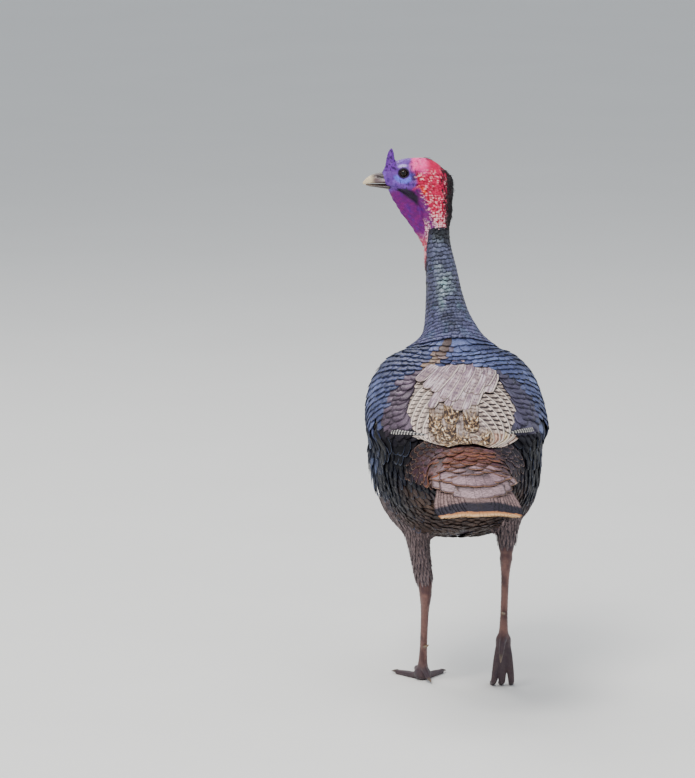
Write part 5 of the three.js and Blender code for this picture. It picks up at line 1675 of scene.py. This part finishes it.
NPRI = 5
for s, tag in ((1, "l"), (-1, "r")):
    k = np.arange(NPRI)[::-1].astype(float)
    end = np.array([[118.0, 106], [88, 132], [50, 154]]) if s > 0 else np.array([[119.0, 104], [94, 126], [66, 146]])
    y = np.stack([-80 + 8 * k, -5 + 4 * k, 72 + k, end[0, 1] + 0 * k, end[1, 1] - k, end[2, 1] - 4 * k], 1)
    x = s * np.stack([150 + 0 * k, 150 + 0 * k, 140 + 0 * k, end[0, 0] + 0 * k, end[1, 0] + k, end[2, 0] + 4 * k], 1)
    z = np.stack([474 - 2 * k, 464 - 1.8 * k, 455 - 1.0 * k, 457 - 0.6 * k, 458 + 0 * k, 457 + 0 * k], 1)
    nv = 26
    P = curve(np.stack([x, y, z], -1), nv)
    t = np.linspace(0, 1, nv + 1)[None]
    depth = mix(7.0, 0.5, smooth(0.36, 0.62, t)) + 0.6 * k[:, None] + 2.5 * smooth(0.85, 1.0, t)
    C = settle(P, depth, steps=4)
    N = face_out(C)
    L = length_of(C)
    tint = np.tile(srgb(88, 80, 80), (NPRI, 1))
    vanes(f"primaries_{tag}", C, N, L, np.full(NPRI, 6.4), tint, PRIMARY, 8, nv, "lance", sweep=0.8, camber=0.2, thick=0.6,
          uv_patch=(0.070, 0.30), uv_at=atlas(NPRI, 11, 0.0, 0.0 if s > 0 else 0.34, 0.09, 0.33))


# ---- the tail and its coverts -------------------------------------------------------------
def tail_material():
    m, nt, b = material("plumage_tail", 0.66)
    b.inputs["Specular IOR Level"].default_value = 0.12
    n = Net(nt)
    fu, fv, fl, fw, rnd, side, tip, edge, quill = feather_parts(n)
    tint = n.attr("tint", "Color")
    barb = barbs(n, fu, fv, fl, fw, rnd, 1.4)
    run = n.math("ADD", tip, n.math("MULTIPLY", quill, 0.35))
    fine = n.noise(n.vec(n.math("DIVIDE", run, 2.4), n.math("MULTIPLY", n.math("MULTIPLY", fu, fw), 0.13), n.math("MULTIPLY", rnd, 43.0)), 1.0, 3.0, 0.65, 0.4)
    c = n.mix(n.mix(tint, (0.02, 0.012, 0.012), 0.50), n.mix(tint, (0.55, 0.40, 0.34), 0.20), n.step(fine, 0.42, 0.60))
    soft = n.noise(n.vec(n.math("DIVIDE", run, 9.0), n.math("MULTIPLY", fu, 2.0), n.math("MULTIPLY", rnd, 9.0)), 1.0, 1.0)
    d = n.math("ADD", tip, n.math("MULTIPLY", n.math("SUBTRACT", soft, 0.5), 7.0))
    band = n.math("MULTIPLY", n.step(d, 24.0, 28.0), n.step(d, 74.0, 60.0))
    c = n.mix(c, n.mix((0.026, 0.021, 0.036), (0.008, 0.006, 0.011), n.step(barb, 0.3, 0.7)), band)
    buff = n.mix((0.50, 0.20, 0.07), (0.80, 0.50, 0.26), n.step(d, 24.0, 6.0))
    buff = n.mix(buff, n.mix(buff, (0.2, 0.07, 0.02), 0.35), n.step(barb, 0.62, 0.42))
    c = n.mix(c, buff, n.step(d, 28.0, 24.0))
    # a paler margin on the plain part, with a soft dark line inside it that is painted shade where the next feather
    # overlaps
    plain = n.step(tip, 60.0, 84.0)
    c = n.mix(c, n.mix(tint, (0.62, 0.48, 0.42), 0.45), n.math("MULTIPLY", n.step(side, 1.6, 0.9), n.math("MULTIPLY", plain, 0.25)))
    c = n.mix(c, n.mix(c, (0.0, 0.0, 0.0), 0.6), n.math("MULTIPLY", n.step(side, 4.8, 7.0), n.math("MULTIPLY", plain, 0.12)))
    c = n.mix(c, n.mix(c, (0.03, 0.02, 0.018), 0.6), n.step(quill, 0.9, 0.4))
    n.link(c, b.inputs["Base Color"])
    n.link(n.bump(barb, 0.5, 0.0007), b.inputs["Normal"])
    return m


TAILMAT = tail_material()
NREC = 18
v = (np.arange(NREC) - (NREC - 1) / 2) / ((NREC - 1) / 2)
order = np.argsort(-np.abs(v), kind="stable")
v = v[order]
lay = np.abs(v) * (NREC / 2)
nv = 34
_reach = 475.0 - 20 * np.abs(v) ** 1.6 - 4.0 * RNG.rand(NREC) * (np.abs(v) > 0.1)
y = curve(np.stack([np.full(NREC, 192.0), np.full(NREC, 280.0), np.full(NREC, 380.0), _reach], 1)[..., None], nv)[..., 0]
x = (v + (RNG.rand(NREC) - 0.5) * 0.04)[:, None] * mix(16.0, 51.0, smooth(180, 430, y))
w, up, arch, ze = (tail_at(y, i) for i in (2, 3, 5, 1))
fold = arch + 6 * smooth(330, 440, y)
z = ze + fold * (1 - (x / w) ** 2) + up * 0.55 - 0.22 * lay[:, None] + 3.0 * smooth(390, 460, y)
C = np.stack([x - 3 * smooth(180, 478, y), y, z], -1)
T = unit(np.gradient(C, axis=1))
side_slope = 2 * fold * x / w**2
N = np.stack([side_slope, np.zeros_like(x), np.ones_like(x)], -1)
N = unit(N - T * np.einsum("...i,...i->...", N, T)[..., None])
tint = np.tile(srgb(136, 112, 112), (NREC, 1)) * (0.85 + 0.3 * RNG.rand(NREC))[:, None]
vanes("tail_feathers", C, N, length_of(C), np.full(NREC, 27.0), tint, TAILMAT, 12, nv, "quill", sweep=0.42, thick=0.30, dip=np.full(NREC, 1.5), hug=False,
      uv_patch=(0.046, 0.30), uv_at=atlas(NREC, 18, 0.0, 0.68, 0.054, 0.31))


def covert_material():
    m, nt, b = material("plumage_covert", 0.54)
    b.inputs["Metallic"].default_value = 0.06
    b.inputs["Specular IOR Level"].default_value = 0.22
    n = Net(nt)
    fu, fv, fl, fw, rnd, side, tip, edge, quill = feather_parts(n, 2.4)
    tint, rim, wide = n.attr("tint", "Color"), n.attr("rim", "Color"), n.attr("rimw")
    barb = barbs(n, fu, fv, fl, fw, rnd, 1.2)
    run = n.math("ADD", tip, n.math("MULTIPLY", quill, 0.5))
    fine = n.noise(n.vec(n.math("DIVIDE", run, 2.2), n.math("MULTIPLY", n.math("MULTIPLY", fu, fw), 0.15), n.math("MULTIPLY", rnd, 43.0)), 1.0, 3.0, 0.6)
    c = n.mix(n.times(tint, 0.5), n.times(tint, 1.3), n.step(fine, 0.40, 0.62))
    patch = n.noise(n.vec(n.math("DIVIDE", run, 14.0), n.math("MULTIPLY", fu, 1.5), n.math("MULTIPLY", rnd, 19.0)), 1.0, 1.0)
    d = n.math("ADD", edge, n.math("ADD", n.math("MULTIPLY", n.math("SUBTRACT", barb, 0.5), 3.0), n.math("MULTIPLY", n.math("SUBTRACT", patch, 0.5), 5.0)))
    sub = n.math("MULTIPLY", n.step(d, n.math("SUBTRACT", wide, 1.0), n.math("ADD", wide, 1.5)), n.step(d, n.math("ADD", wide, 8.0), n.math("ADD", wide, 3.0)))
    c = n.mix(c, (0.014, 0.009, 0.014), n.math("MULTIPLY", sub, n.math("MULTIPLY", n.attr("band"), 0.75)))
    red = n.mix(rim, n.times(rim, 0.40), n.step(barb, 0.62, 0.38))
    red = n.mix(red, n.mix(rim, (0.80, 0.56, 0.42), 0.35), n.step(edge, 1.8, 0.6))
    c = n.mix(c, red, n.step(d, n.math("ADD", wide, 2.2), n.math("SUBTRACT", wide, 1.8)))
    # darker toward the root: painted shade where the feathers above overlap it
    c = n.mix(c, n.mix(c, (0, 0, 0), 0.7), n.step(tip, 26.0, 52.0))
    c = n.mix(c, n.mix(c, (0, 0, 0), 0.5), n.step(quill, 0.8, 0.3))
    n.link(c, b.inputs["Base Color"])
    n.link(n.bump(barb, 0.5, 0.0006), b.inputs["Normal"])
    return m


COVERT = covert_material()


def tail_top(x, y, depth):
    w, up, arch, ze = (tail_at(y, i) for i in (2, 3, 5, 1))
    over = clamp(np.abs(x) / w - 0.92, 0, 9)
    return ze + arch * (1 - np.minimum(1, (x / w) ** 2)) + up * clamp(1 - (x / w) ** 4) ** 0.5 - depth - 42 * over


def fan(name, v, y_root, x_root, y_tip, x_tip, droop, W, base, rim, rimw, band, depth0, layer, nv=16, rag=1.0):
    """Coverts fanned over the base of the tail at places v from -1 to 1 across it; the middle ones on top."""
    n = len(v)
    v = np.asarray(v, float) + (RNG.rand(n) - 0.5) * 0.7 / n * rag
    v = v[np.argsort(-np.abs(v), kind="stable")]
    t = np.linspace(0, 1, nv + 1)[None]
    yt = y_tip - droop * v**2 + (RNG.rand(n) - 0.5) * 14 * rag
    y = y_root + (yt[:, None] - y_root) * t
    x = v[:, None] * mix(x_root, x_tip, t ** 0.9)
    z = tail_top(x, y, 0)
    P = np.stack([x - 7 * smooth(180, 478, y), y, z], -1)
    dep = depth0 + layer * np.abs(v)[:, None] * n / 2 + mix(6.0, 0.0, smooth(0, 0.8, t))
    Q = settle(P, dep, steps=3)
    k = smooth(276, 302, y)[..., None]
    P2 = P - np.array([0, 0, 1.0]) * dep[..., None]
    C = Q * (1 - k) + P2 * k
    T = unit(np.gradient(C, axis=1))
    flat = unit(np.stack([2 * np.interp(C[..., 1], _ty[:, 0], _ty[:, 5]) * (C[..., 0] + 7 * smooth(180, 478, C[..., 1])) / 74.0**2, 0.25 + 0 * x, 1.0 + 0 * x], -1))
    N = unit(face_out(np.minimum(C, np.array([999, 300, 999]))) * (1 - k) + flat * k)
    N = unit(N - T * np.einsum("...i,...i->...", N, T)[..., None])
    bt = np.tile(base, (n, 1)) * (0.80 + 0.4 * RNG.rand(n))[:, None]
    vanes(name, C, N, length_of(C), W * (0.88 + 0.24 * RNG.rand(n)), bt, COVERT, 8, nv, "oval", sweep=0.80, thick=0.6, dip=np.full(n, 2.4), hug=False,
          extra={"band": band, "rimw": rimw}, uv_patch=(0.060, 0.14), uv_at=atlas(n, 14, 0.0, 0.02, 0.068, 0.16))
    o = PIECES[-1]
    nvert = len(o.data.vertices) // n
    tone = np.tile(rim, (n, 1)) * (0.8 + 0.4 * RNG.rand(n))[:, None]
    put(o, "rim", np.repeat(tone, nvert, 0), "FLOAT_COLOR")


fan("coverts_long", np.linspace(-1, 1, 8), 205, 26, 402, 54, 80, 28.0, srgb(154, 132, 136), srgb(198, 160, 138), 2.2, 0.5, -1.0, 0.7)
fan("coverts_mid", np.linspace(-0.88, 0.88, 7), 195, 22, 350, 62, 62, 26.0, srgb(146, 122, 128), srgb(186, 138, 112), 3.0, 0.6, -2.4, 0.7)
fan("coverts_side_l", np.array([0.74, 0.90, 1.04]), 188, 34, 290, 84, 14, 12.0, srgb(106, 80, 82), srgb(176, 108, 78), 5.0, 0.9, -3.2, 0.5)

_P, _ = BODY.surface(E_ALL)
_N = face_out(_P)
_in = (_P[:, 1] > np.maximum(160.0, np.where(shield(_P) > -25, np.interp(_P[:, 0], [-112, -99, -80, -60, -47, -8, 14, 42, 60, 101, 112], [106, 120, 146, 178, 194, 197, 197, 172, 155, 122, 106]), 0) + 4)) & (_P[:, 1] < 306) & (_N[:, 2] > -0.1) & (_N[:, 1] < 0.9) & (_P[:, 2] > 362 - 0.12 * (_P[:, 1] - 160)) & (np.abs(_P[:, 0]) < 104)
_P = _P[_in]
_big = smooth(170, 300, _P[:, 1])
p = _P[scatter(_P, mix(9.5, 17.0, _big), 5)]
big = smooth(170, 300, p[:, 1])
_F = len(p)


def splay(q):
    """The rump's feathers fan out from the middle of the back."""
    d = unit(np.stack([q[..., 0] * 0.95, np.maximum(30.0, q[..., 1] - 128), -8 - 0.2 * np.abs(q[..., 0])], -1))
    n = face_out(q)
    return unit(d - n * np.einsum("...i,...i->...", d, n)[..., None])


L = mix(36.0, 74.0, big) * (0.85 + 0.3 * RNG.rand(_F))
W = mix(9.5, 18.0, big) * (0.85 + 0.3 * RNG.rand(_F)) * (1 - 0.30 * smooth(40, 85, np.abs(p[:, 0])))
C, N = run_back(p, L, splay, mix(0.2, -2.2, smooth(200, 228, p[:, 1])) + 1.4 * RNG.rand(_F) - 1.5 * big, 5.4 + 1.0 * big, 9)
n1, n2 = noise3(p / 22.0, 81), noise3(p / 11.0, 82)
dark, plum, red, grey = srgb(28, 21, 26), srgb(86, 60, 70), srgb(128, 82, 74), srgb(146, 122, 128)
c = mixc(np.tile(dark, (_F, 1)), plum, smooth(172, 196, p[:, 1] + 14 * (n1 - 0.5)))
c = mixc(c, red, smooth(200, 232, p[:, 1] + 24 * (n1 - 0.5)) * smooth(62, 30, np.abs(p[:, 0] - 6)) * 0.85)
c = mixc(c, grey, smooth(262, 292, p[:, 1] + 20 * (n2 - 0.5)))
side = smooth(44, 74, -p[:, 0])
c = mixc(c, srgb(30, 26, 34), side * 0.85)
c = c * (0.72 + 0.5 * RNG.rand(_F))[:, None]
rim = mixc(np.tile(srgb(70, 40, 38), (_F, 1)), srgb(138, 90, 72), smooth(198, 226, p[:, 1] + 20 * (n2 - 0.5)))
rim = mixc(rim, srgb(178, 132, 108), smooth(262, 296, p[:, 1]))
rim = mixc(rim, srgb(84, 76, 90), side * 0.8)
rim = rim * (0.7 + 0.5 * RNG.rand(_F))[:, None]
vanes("coverts", C, N, L, W, c, COVERT, 8, 9, "oval", sweep=0.9, thick=0.45, roll=(RNG.rand(_F) - 0.5) * 1.2,
      extra={"band": 0.6 + 0.4 * RNG.rand(_F), "rimw": mix(2.2, 4.5, RNG.rand(_F)) + 5.0 * smooth(200, 232, p[:, 1]) * smooth(285, 260, p[:, 1]) * RNG.rand(_F)})
_o = PIECES[-1]
put(_o, "rim", np.repeat(rim, len(_o.data.vertices) // _F, 0), "FLOAT_COLOR")
print("coverts", _F)

# ---- horn: bill, claws and spurs ------------------------------------------------------------
def horn_material(name, rough):
    m, nt, b = material(name, rough)
    b.inputs["Coat Weight"].default_value = 0.15
    n = Net(nt)
    tint = n.attr("tint", "Color")
    xyz = n.coords()
    streak = n.noise(n.scaled(xyz, (500.0, 500.0, 1600.0)), 1.0, 3.0, 0.6)
    c = n.mix(n.mix(tint, (0.02, 0.015, 0.01), 0.4), tint, n.step(streak, 0.25, 0.6))
    n.link(c, b.inputs["Base Color"])
    n.link(n.step(streak, 0.3, 0.7, rough + 0.12, rough - 0.08), b.inputs["Roughness"])
    n.link(n.bump(streak, 0.3, 0.0004), b.inputs["Normal"])
    return m


BILL, CLAW = horn_material("bill_horn", 0.38), horn_material("claw_horn", 0.42)
made = [skin]


def bill(name, keys, upper):
    P = limb_rings(keys, (0, 1, 0), 3 / 9, rnd=(0.4, 0.9), nt=84, na=72)
    V, T = tube(P)
    x, y, z = V[:, 0].copy(), V[:, 1].copy(), V[:, 2].copy()
    if upper:
        mid = np.interp(x, [104, 118, 130, 141, 149], [863.8, 863.1, 861.4, 858.2, 854.4])
        # a keeled ridge along the top, sharp cutting edges below, and the slit of each nostril under its flap
        V[:, 2] += 0.9 * np.exp(-((y / 2.2) ** 2)) * (z > mid)
        low = smooth(mid - 2, mid - 9, z)
        V[:, 2] = V[:, 2] - 0.0 + low * 1.6 * np.exp(-((y / 4.5) ** 2))
        for s in (1, -1):
            nx, nz = (x - 119.5) / 6.4, (z - (865.2 + 0.16 * (x - 119.5))) / 1.7
            dent = np.exp(-(nx**4 + nz**4)) * (s * y > 2)
            flap = np.exp(-(((x - 119) / 7.5) ** 4 + ((z - 868.2 - 0.1 * (x - 119)) / 2.2) ** 2)) * (s * y > 2)
            V[:, 1] += s * (-2.0 * dent + 0.75 * flap)
    else:
        V[:, 2] += 0.8 * np.exp(-((y / 4.0) ** 2)) * (z > 848.8)
    o = shape_object(name, (from_head(V), T), BILL)
    n1 = noise3(V / 5.0, 71)
    if upper:
        c = mixc(np.tile(srgb(104, 86, 88), (len(V), 1)), srgb(226, 208, 178), smooth(127, 140, x + 0.9 * (z - mid) * 0 + 4 * (n1 - 0.5)))
        c = mixc(c, srgb(72, 58, 66), smooth(118, 108, x) * smooth(mid - 2, mid + 3, z))
        c = mixc(c, srgb(58, 46, 48), smooth(mid + 2.4, mid + 6.0, z + 0.05 * (130 - x)) * smooth(140, 126, x) * 0.9)
        edge = smooth(mid - 4.5, mid - 8.0, z)
        c = mixc(c, srgb(96, 74, 62), edge * smooth(146, 120, x) * 0.8)
        # the nostril slit, painted near-black: painted shade in its opening
        dark = np.exp(-(((x - 119.5) / 6.8) ** 4 + ((z - (865.2 + 0.16 * (x - 119.5))) / 2.0) ** 4))
        c = mixc(c, srgb(22, 14, 16), dark * 0.95)
        c = mixc(c, srgb(60, 44, 42), np.exp(-((y / 2.6) ** 2)) * (z > mid) * smooth(136, 118, x) * 0.55)
        c = mixc(c, srgb(206, 190, 196), np.exp(-(((x - 115) / 6.5) ** 2 + ((z - 860.5) / 2.2) ** 2)) * 0.7)
    else:
        c = mixc(np.tile(srgb(54, 42, 40), (len(V), 1)), srgb(92, 76, 64), smooth(120, 145, x))
    put(o, "tint", c, "FLOAT_COLOR")
    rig.replaces(o, name.replace("_horn", ""))
    made.append(o)


bill("bill_horn_upper", UPPER_BILL, True)
bill("bill_horn_lower", LOWER_BILL, False)

for (start, d, length, r, fall), node in zip(TIPS, [f"claw_{a}_{b}" for a in "lr" for b in ("inner", "middle", "outer", "hind")]):
    side = unit(np.array([d[1], -d[0], 0.0])) if abs(d[2]) < 0.9 else np.array([1.0, 0, 0])
    keys = []
    for i, q in enumerate((0, 0.3, 0.6, 0.85, 1)):
        p = start + d * (q * length)
        keys.append([p[0], p[1], p[2] - fall * q * q, mix(r, 0.9, q**1.3), mix(r * 0.95, 0.8, q**1.2)])
    V, T = limb(keys, side, 3 / 14, rnd=(0.2, 1), nt=40, na=24)
    V[:, 2] = np.maximum(V[:, 2], 0.0)
    o = shape_object(node.replace("claw", "nail"), (V, T), CLAW)
    q = clamp(((V - start) @ d) / length)
    put(o, "tint", mixc(np.tile(srgb(64, 52, 48), (len(V), 1)), srgb(116, 100, 88), q), "FLOAT_COLOR")
    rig.replaces(o, node)
    made.append(o)
for tag, x, y, z, s in (("l", 60, 18, 64, 1), ("r", -75, 90, 134, -1)):
    keys = [[x, y - 2, z - 0.5, 5, 5], [x - s * 1.5, y + 5, z + 0.4, 3.9, 3.9], [x - s * 3.4, y + 11, z + 1.4, 2.9, 2.9], [x - s * 7, y + 20, z + 5, 1, 1]]
    V, T = limb(keys, (0, 0, 1), 3 / 12, rnd=(0.5, 1), nt=44, na=24)
    o = shape_object(f"spur_horn_{tag}", (V, T), CLAW)
    q = clamp((V[:, 1] - y) / 20)
    put(o, "tint", mixc(np.tile(srgb(70, 52, 46), (len(V), 1)), srgb(128, 106, 86), q), "FLOAT_COLOR")
    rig.replaces(o, f"spur_{tag}")
    made.append(o)


# ---- the beard: a brush of bristles ------------------------------------------------------------
def bristle_material():
    m, nt, b = material("beard_bristle", 0.4)
    n = Net(nt)
    g = n.noise(n.scaled(n.coords(), (900.0, 900.0, 60.0)), 1.0, 2.0)
    n.link(n.mix((0.006, 0.005, 0.006), (0.040, 0.030, 0.026), n.step(g, 0.35, 0.75)), b.inputs["Base Color"])
    n.link(n.bump(g, 0.3, 0.0004), b.inputs["Normal"])
    return m


def beard():
    keys = rows([[2, -224, 498, 2.5, 2], [2, -241, 470, 5.4, 3.2], [3, -251, 432, 6.6, 3.8], [4, -254, 392, 6.6, 3.6], [5, -254, 354, 6.2, 3.2], [5, -253, 326, 5.2, 3.0]])
    V, T, base = [], [], 0
    for i in range(90):
        a, r = RNG.rand() * 2 * PI, math.sqrt(RNG.rand())
        end = 0.80 + 0.20 * RNG.rand()
        t = np.linspace(0, end, 15)
        k = keys(t)
        wob = np.stack([np.sin(t * 9 + i), np.cos(t * 7 + 2 * i)], -1) * 0.35
        mid = k[:, :3].copy()
        mid[:, 0] += np.cos(a) * r * k[:, 3] + wob[:, 0]
        mid[:, 1] += np.sin(a) * r * k[:, 4] + wob[:, 1]
        rad = 0.62 * (1 - 0.75 * (t / end) ** 3)
        rad[0] = rad[-1] = 0
        ang = np.arange(5) / 5 * 2 * PI
        ring_ = mid[:, None] + np.stack([np.cos(ang), np.sin(ang), 0 * ang], -1)[None] * rad[:, None, None]
        v_, t_ = tube(ring_)
        V.append(v_)
        T.append(t_ + base)
        base += len(v_)
    o = shape_object("beard_bristles", (np.concatenate(V), np.concatenate(T)), bristle_material())
    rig.replaces(o, "beard")
    made.append(o)


beard()


# ---- short dark bristles on the back of the head and neck -----------------------------------------
def hair_material():
    m, nt, b = material("head_bristle", 0.5)
    n = Net(nt)
    g = n.attr("rnd")
    n.link(n.mix((0.005, 0.004, 0.006), (0.035, 0.022, 0.028), n.math("POWER", g, 2.0)), b.inputs["Base Color"])
    return m


def hairs():
    P, N_ = SKIN_P, SKIN_N
    h = to_head(P)
    x, y, z = h[:, 0], h[:, 1], h[:, 2]
    back = smooth(15, 3, x - 0.1 * (z - 820)) * smooth(758, 775, z) * smooth(902, 892, z)
    crown = smooth(896, 899, z) * smooth(10, 20, x) * smooth(62, 46, x) * smooth(14, 8, np.abs(y)) * 0.5
    cheek = 0.05 * smooth(836, 850, z) * smooth(98, 90, x) * smooth(50, 60, x) * (np.abs(y) > 8)
    w = back + crown + cheek
    w[z < 758] = 0
    pick = RNG.rand(len(P)) < w * 0.15
    p, n = P[pick], N_[pick]
    F = len(p)
    d = np.array([-0.25, 0, -1.0]) @ HEAD_R.T
    d = unit(np.broadcast_to(d, p.shape) - n * (n @ d)[:, None])
    d = unit(d + n * (0.16 + 0.26 * RNG.rand(F))[:, None] + 0.22 * (RNG.rand(F, 3) - 0.5))
    L = 6.5 + 4.0 * RNG.rand(F)
    t = np.linspace(0, 1, 4)
    C = p[:, None] - n[:, None] * 0.4 + d[:, None] * (L[:, None] * t)[..., None] - n[:, None] * (0.9 * t**2)[None, :, None]
    up = unit(n - d * np.einsum("ij,ij->i", n, d)[:, None])
    vanes("head_bristles", C, np.repeat(up[:, None], 4, 1), L, np.full(F, 0.5), np.zeros((F, 3)), hair_material(), 2, 3, "lance", sweep=0, thick=0.35, hug=False,
          dip=np.zeros(F))
    print("bristles", F)


hairs()

# ---- camera, floor and light -----------------------------------------------------
AZ, EL, MM_PER_PIXEL, AWAY = math.radians(176), math.radians(9), 1.75, 15000.0
off = np.array([math.sin(AZ) * math.cos(EL), -math.cos(AZ) * math.cos(EL), math.sin(EL)])
right = np.array([math.cos(AZ), math.sin(AZ), 0.0])
upward = np.cross(right, -off)
aim = np.array([0, -20, 2.5]) + right * (347.5 - 456) * MM_PER_PIXEL + upward * (676 - 389) * MM_PER_PIXEL
cam_data = bpy.data.cameras.new("camera")
cam = bpy.data.objects.new("camera", cam_data)
bpy.context.scene.collection.objects.link(cam)
cam_data.sensor_width, cam_data.sensor_fit = 36.0, "AUTO"
cam_data.lens = 36.0 * (AWAY / MM_PER_PIXEL) / 778.0
cam_data.clip_start, cam_data.clip_end = 0.5, 100.0
cam.matrix_world = Matrix((
    (right[0], upward[0], off[0], to_row(aim + off * AWAY)[0]),
    (right[1], upward[1], off[1], to_row(aim + off * AWAY)[1]),
    (right[2], upward[2], off[2], to_row(aim + off * AWAY)[2]),
    (0, 0, 0, 1)))
bpy.context.scene.camera = cam

floor = mesh_object("floor", np.array([[-16000, -16000, 0], [16000, -16000, 0], [16000, 16000, 0], [-16000, 16000, 0]], float), [0, 1, 2, 3], [4], False)
_m, _nt, _b = material("floor_pale", 0.85)
_k = Net(_nt)
_k.link(_k.mix((0.86, 0.85, 0.82), (0.90, 0.89, 0.86), _k.noise(_k.coords(), 3.0)), _b.inputs["Base Color"])
floor.data.materials.append(_m)
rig.stage(floor)

world = bpy.data.worlds.new("studio")
bpy.context.scene.world = world
world.use_nodes = True
world.node_tree.nodes["Background"].inputs["Color"].default_value = (0.86, 0.92, 1.0, 1)
world.node_tree.nodes["Background"].inputs["Strength"].default_value = 0.62


def area(name, az, el, dist, size, power, color=(1, 1, 1)):
    d = bpy.data.lights.new(name, "AREA")
    d.energy, d.size, d.color = power, size, color
    o = bpy.data.objects.new(name, d)
    a, e = math.radians(az), math.radians(el)
    c = Vector((0, 0, 0.45))
    p = c + Vector((math.sin(a) * math.cos(e), -math.cos(a) * math.cos(e), math.sin(e))) * dist
    o.location = p
    o.rotation_euler = (c - p).to_track_quat("-Z", "Y").to_euler()
    bpy.context.scene.collection.objects.link(o)


area("key", 150, 52, 4.6, 1.7, 165, (1.0, 0.97, 0.92))
area("rear_fill", 215, 25, 4.6, 2.6, 22, (0.86, 0.92, 1.0))
area("front_key", 20, 45, 4.6, 2.2, 80, (1.0, 0.98, 0.95))
area("front_fill", 300, 20, 4.6, 2.8, 26, (0.9, 0.95, 1.0))
area("top", 90, 88, 4.0, 2.6, 48)

made += [eye("eyeball_l", 1), eye("eyeball_r", -1)]
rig.replaces(skin, "trunk", "neck_lower", "neck_upper", "head", "snood", "wattle", "thigh_l", "thigh_r", "shank_l", "shank_r", "foot_l", "foot_r", "wing_l", "wing_r")
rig.replaces(made[-2], "eye_l")
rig.replaces(made[-1], "eye_r")
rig.replaces(next(o for o in PIECES if o.name == "tail_feathers"), "tail")
SLOTS = (("contour", "plumage_dark"), ("neck_plumes", "plumage_dark"), ("flank", "plumage_dark"), ("leg_plumes", "plumage_leg"), ("secondaries", "plumage_wing"),
         ("primaries", "plumage_wing"), ("tertials", "plumage_wing"), ("tail_feathers", "plumage_tail"), ("coverts", "plumage_tail"), ("head_bristles", "beard_bristle"),
         ("beard", "beard_bristle"), ("bill", "bill_horn"), ("nail", "claw_horn"), ("spur", "claw_horn"), ("eyeball", "eye"), ("skin", "bare_skin"))
for o in made + PIECES:
    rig.ride(o, "root")
    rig.slot(o, next(slot for start, slot in SLOTS if o.name.startswith(start)))
new_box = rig.bounds()
print("triangles", sum(sum(len(p.vertices) - 2 for p in o.data.polygons) for o in made + PIECES))
plain = lambda b: [[float(v) for v in c] for c in b]
with open("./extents.json", "w") as f:
    json.dump([plain(CAD_BOX), plain(new_box)], f)
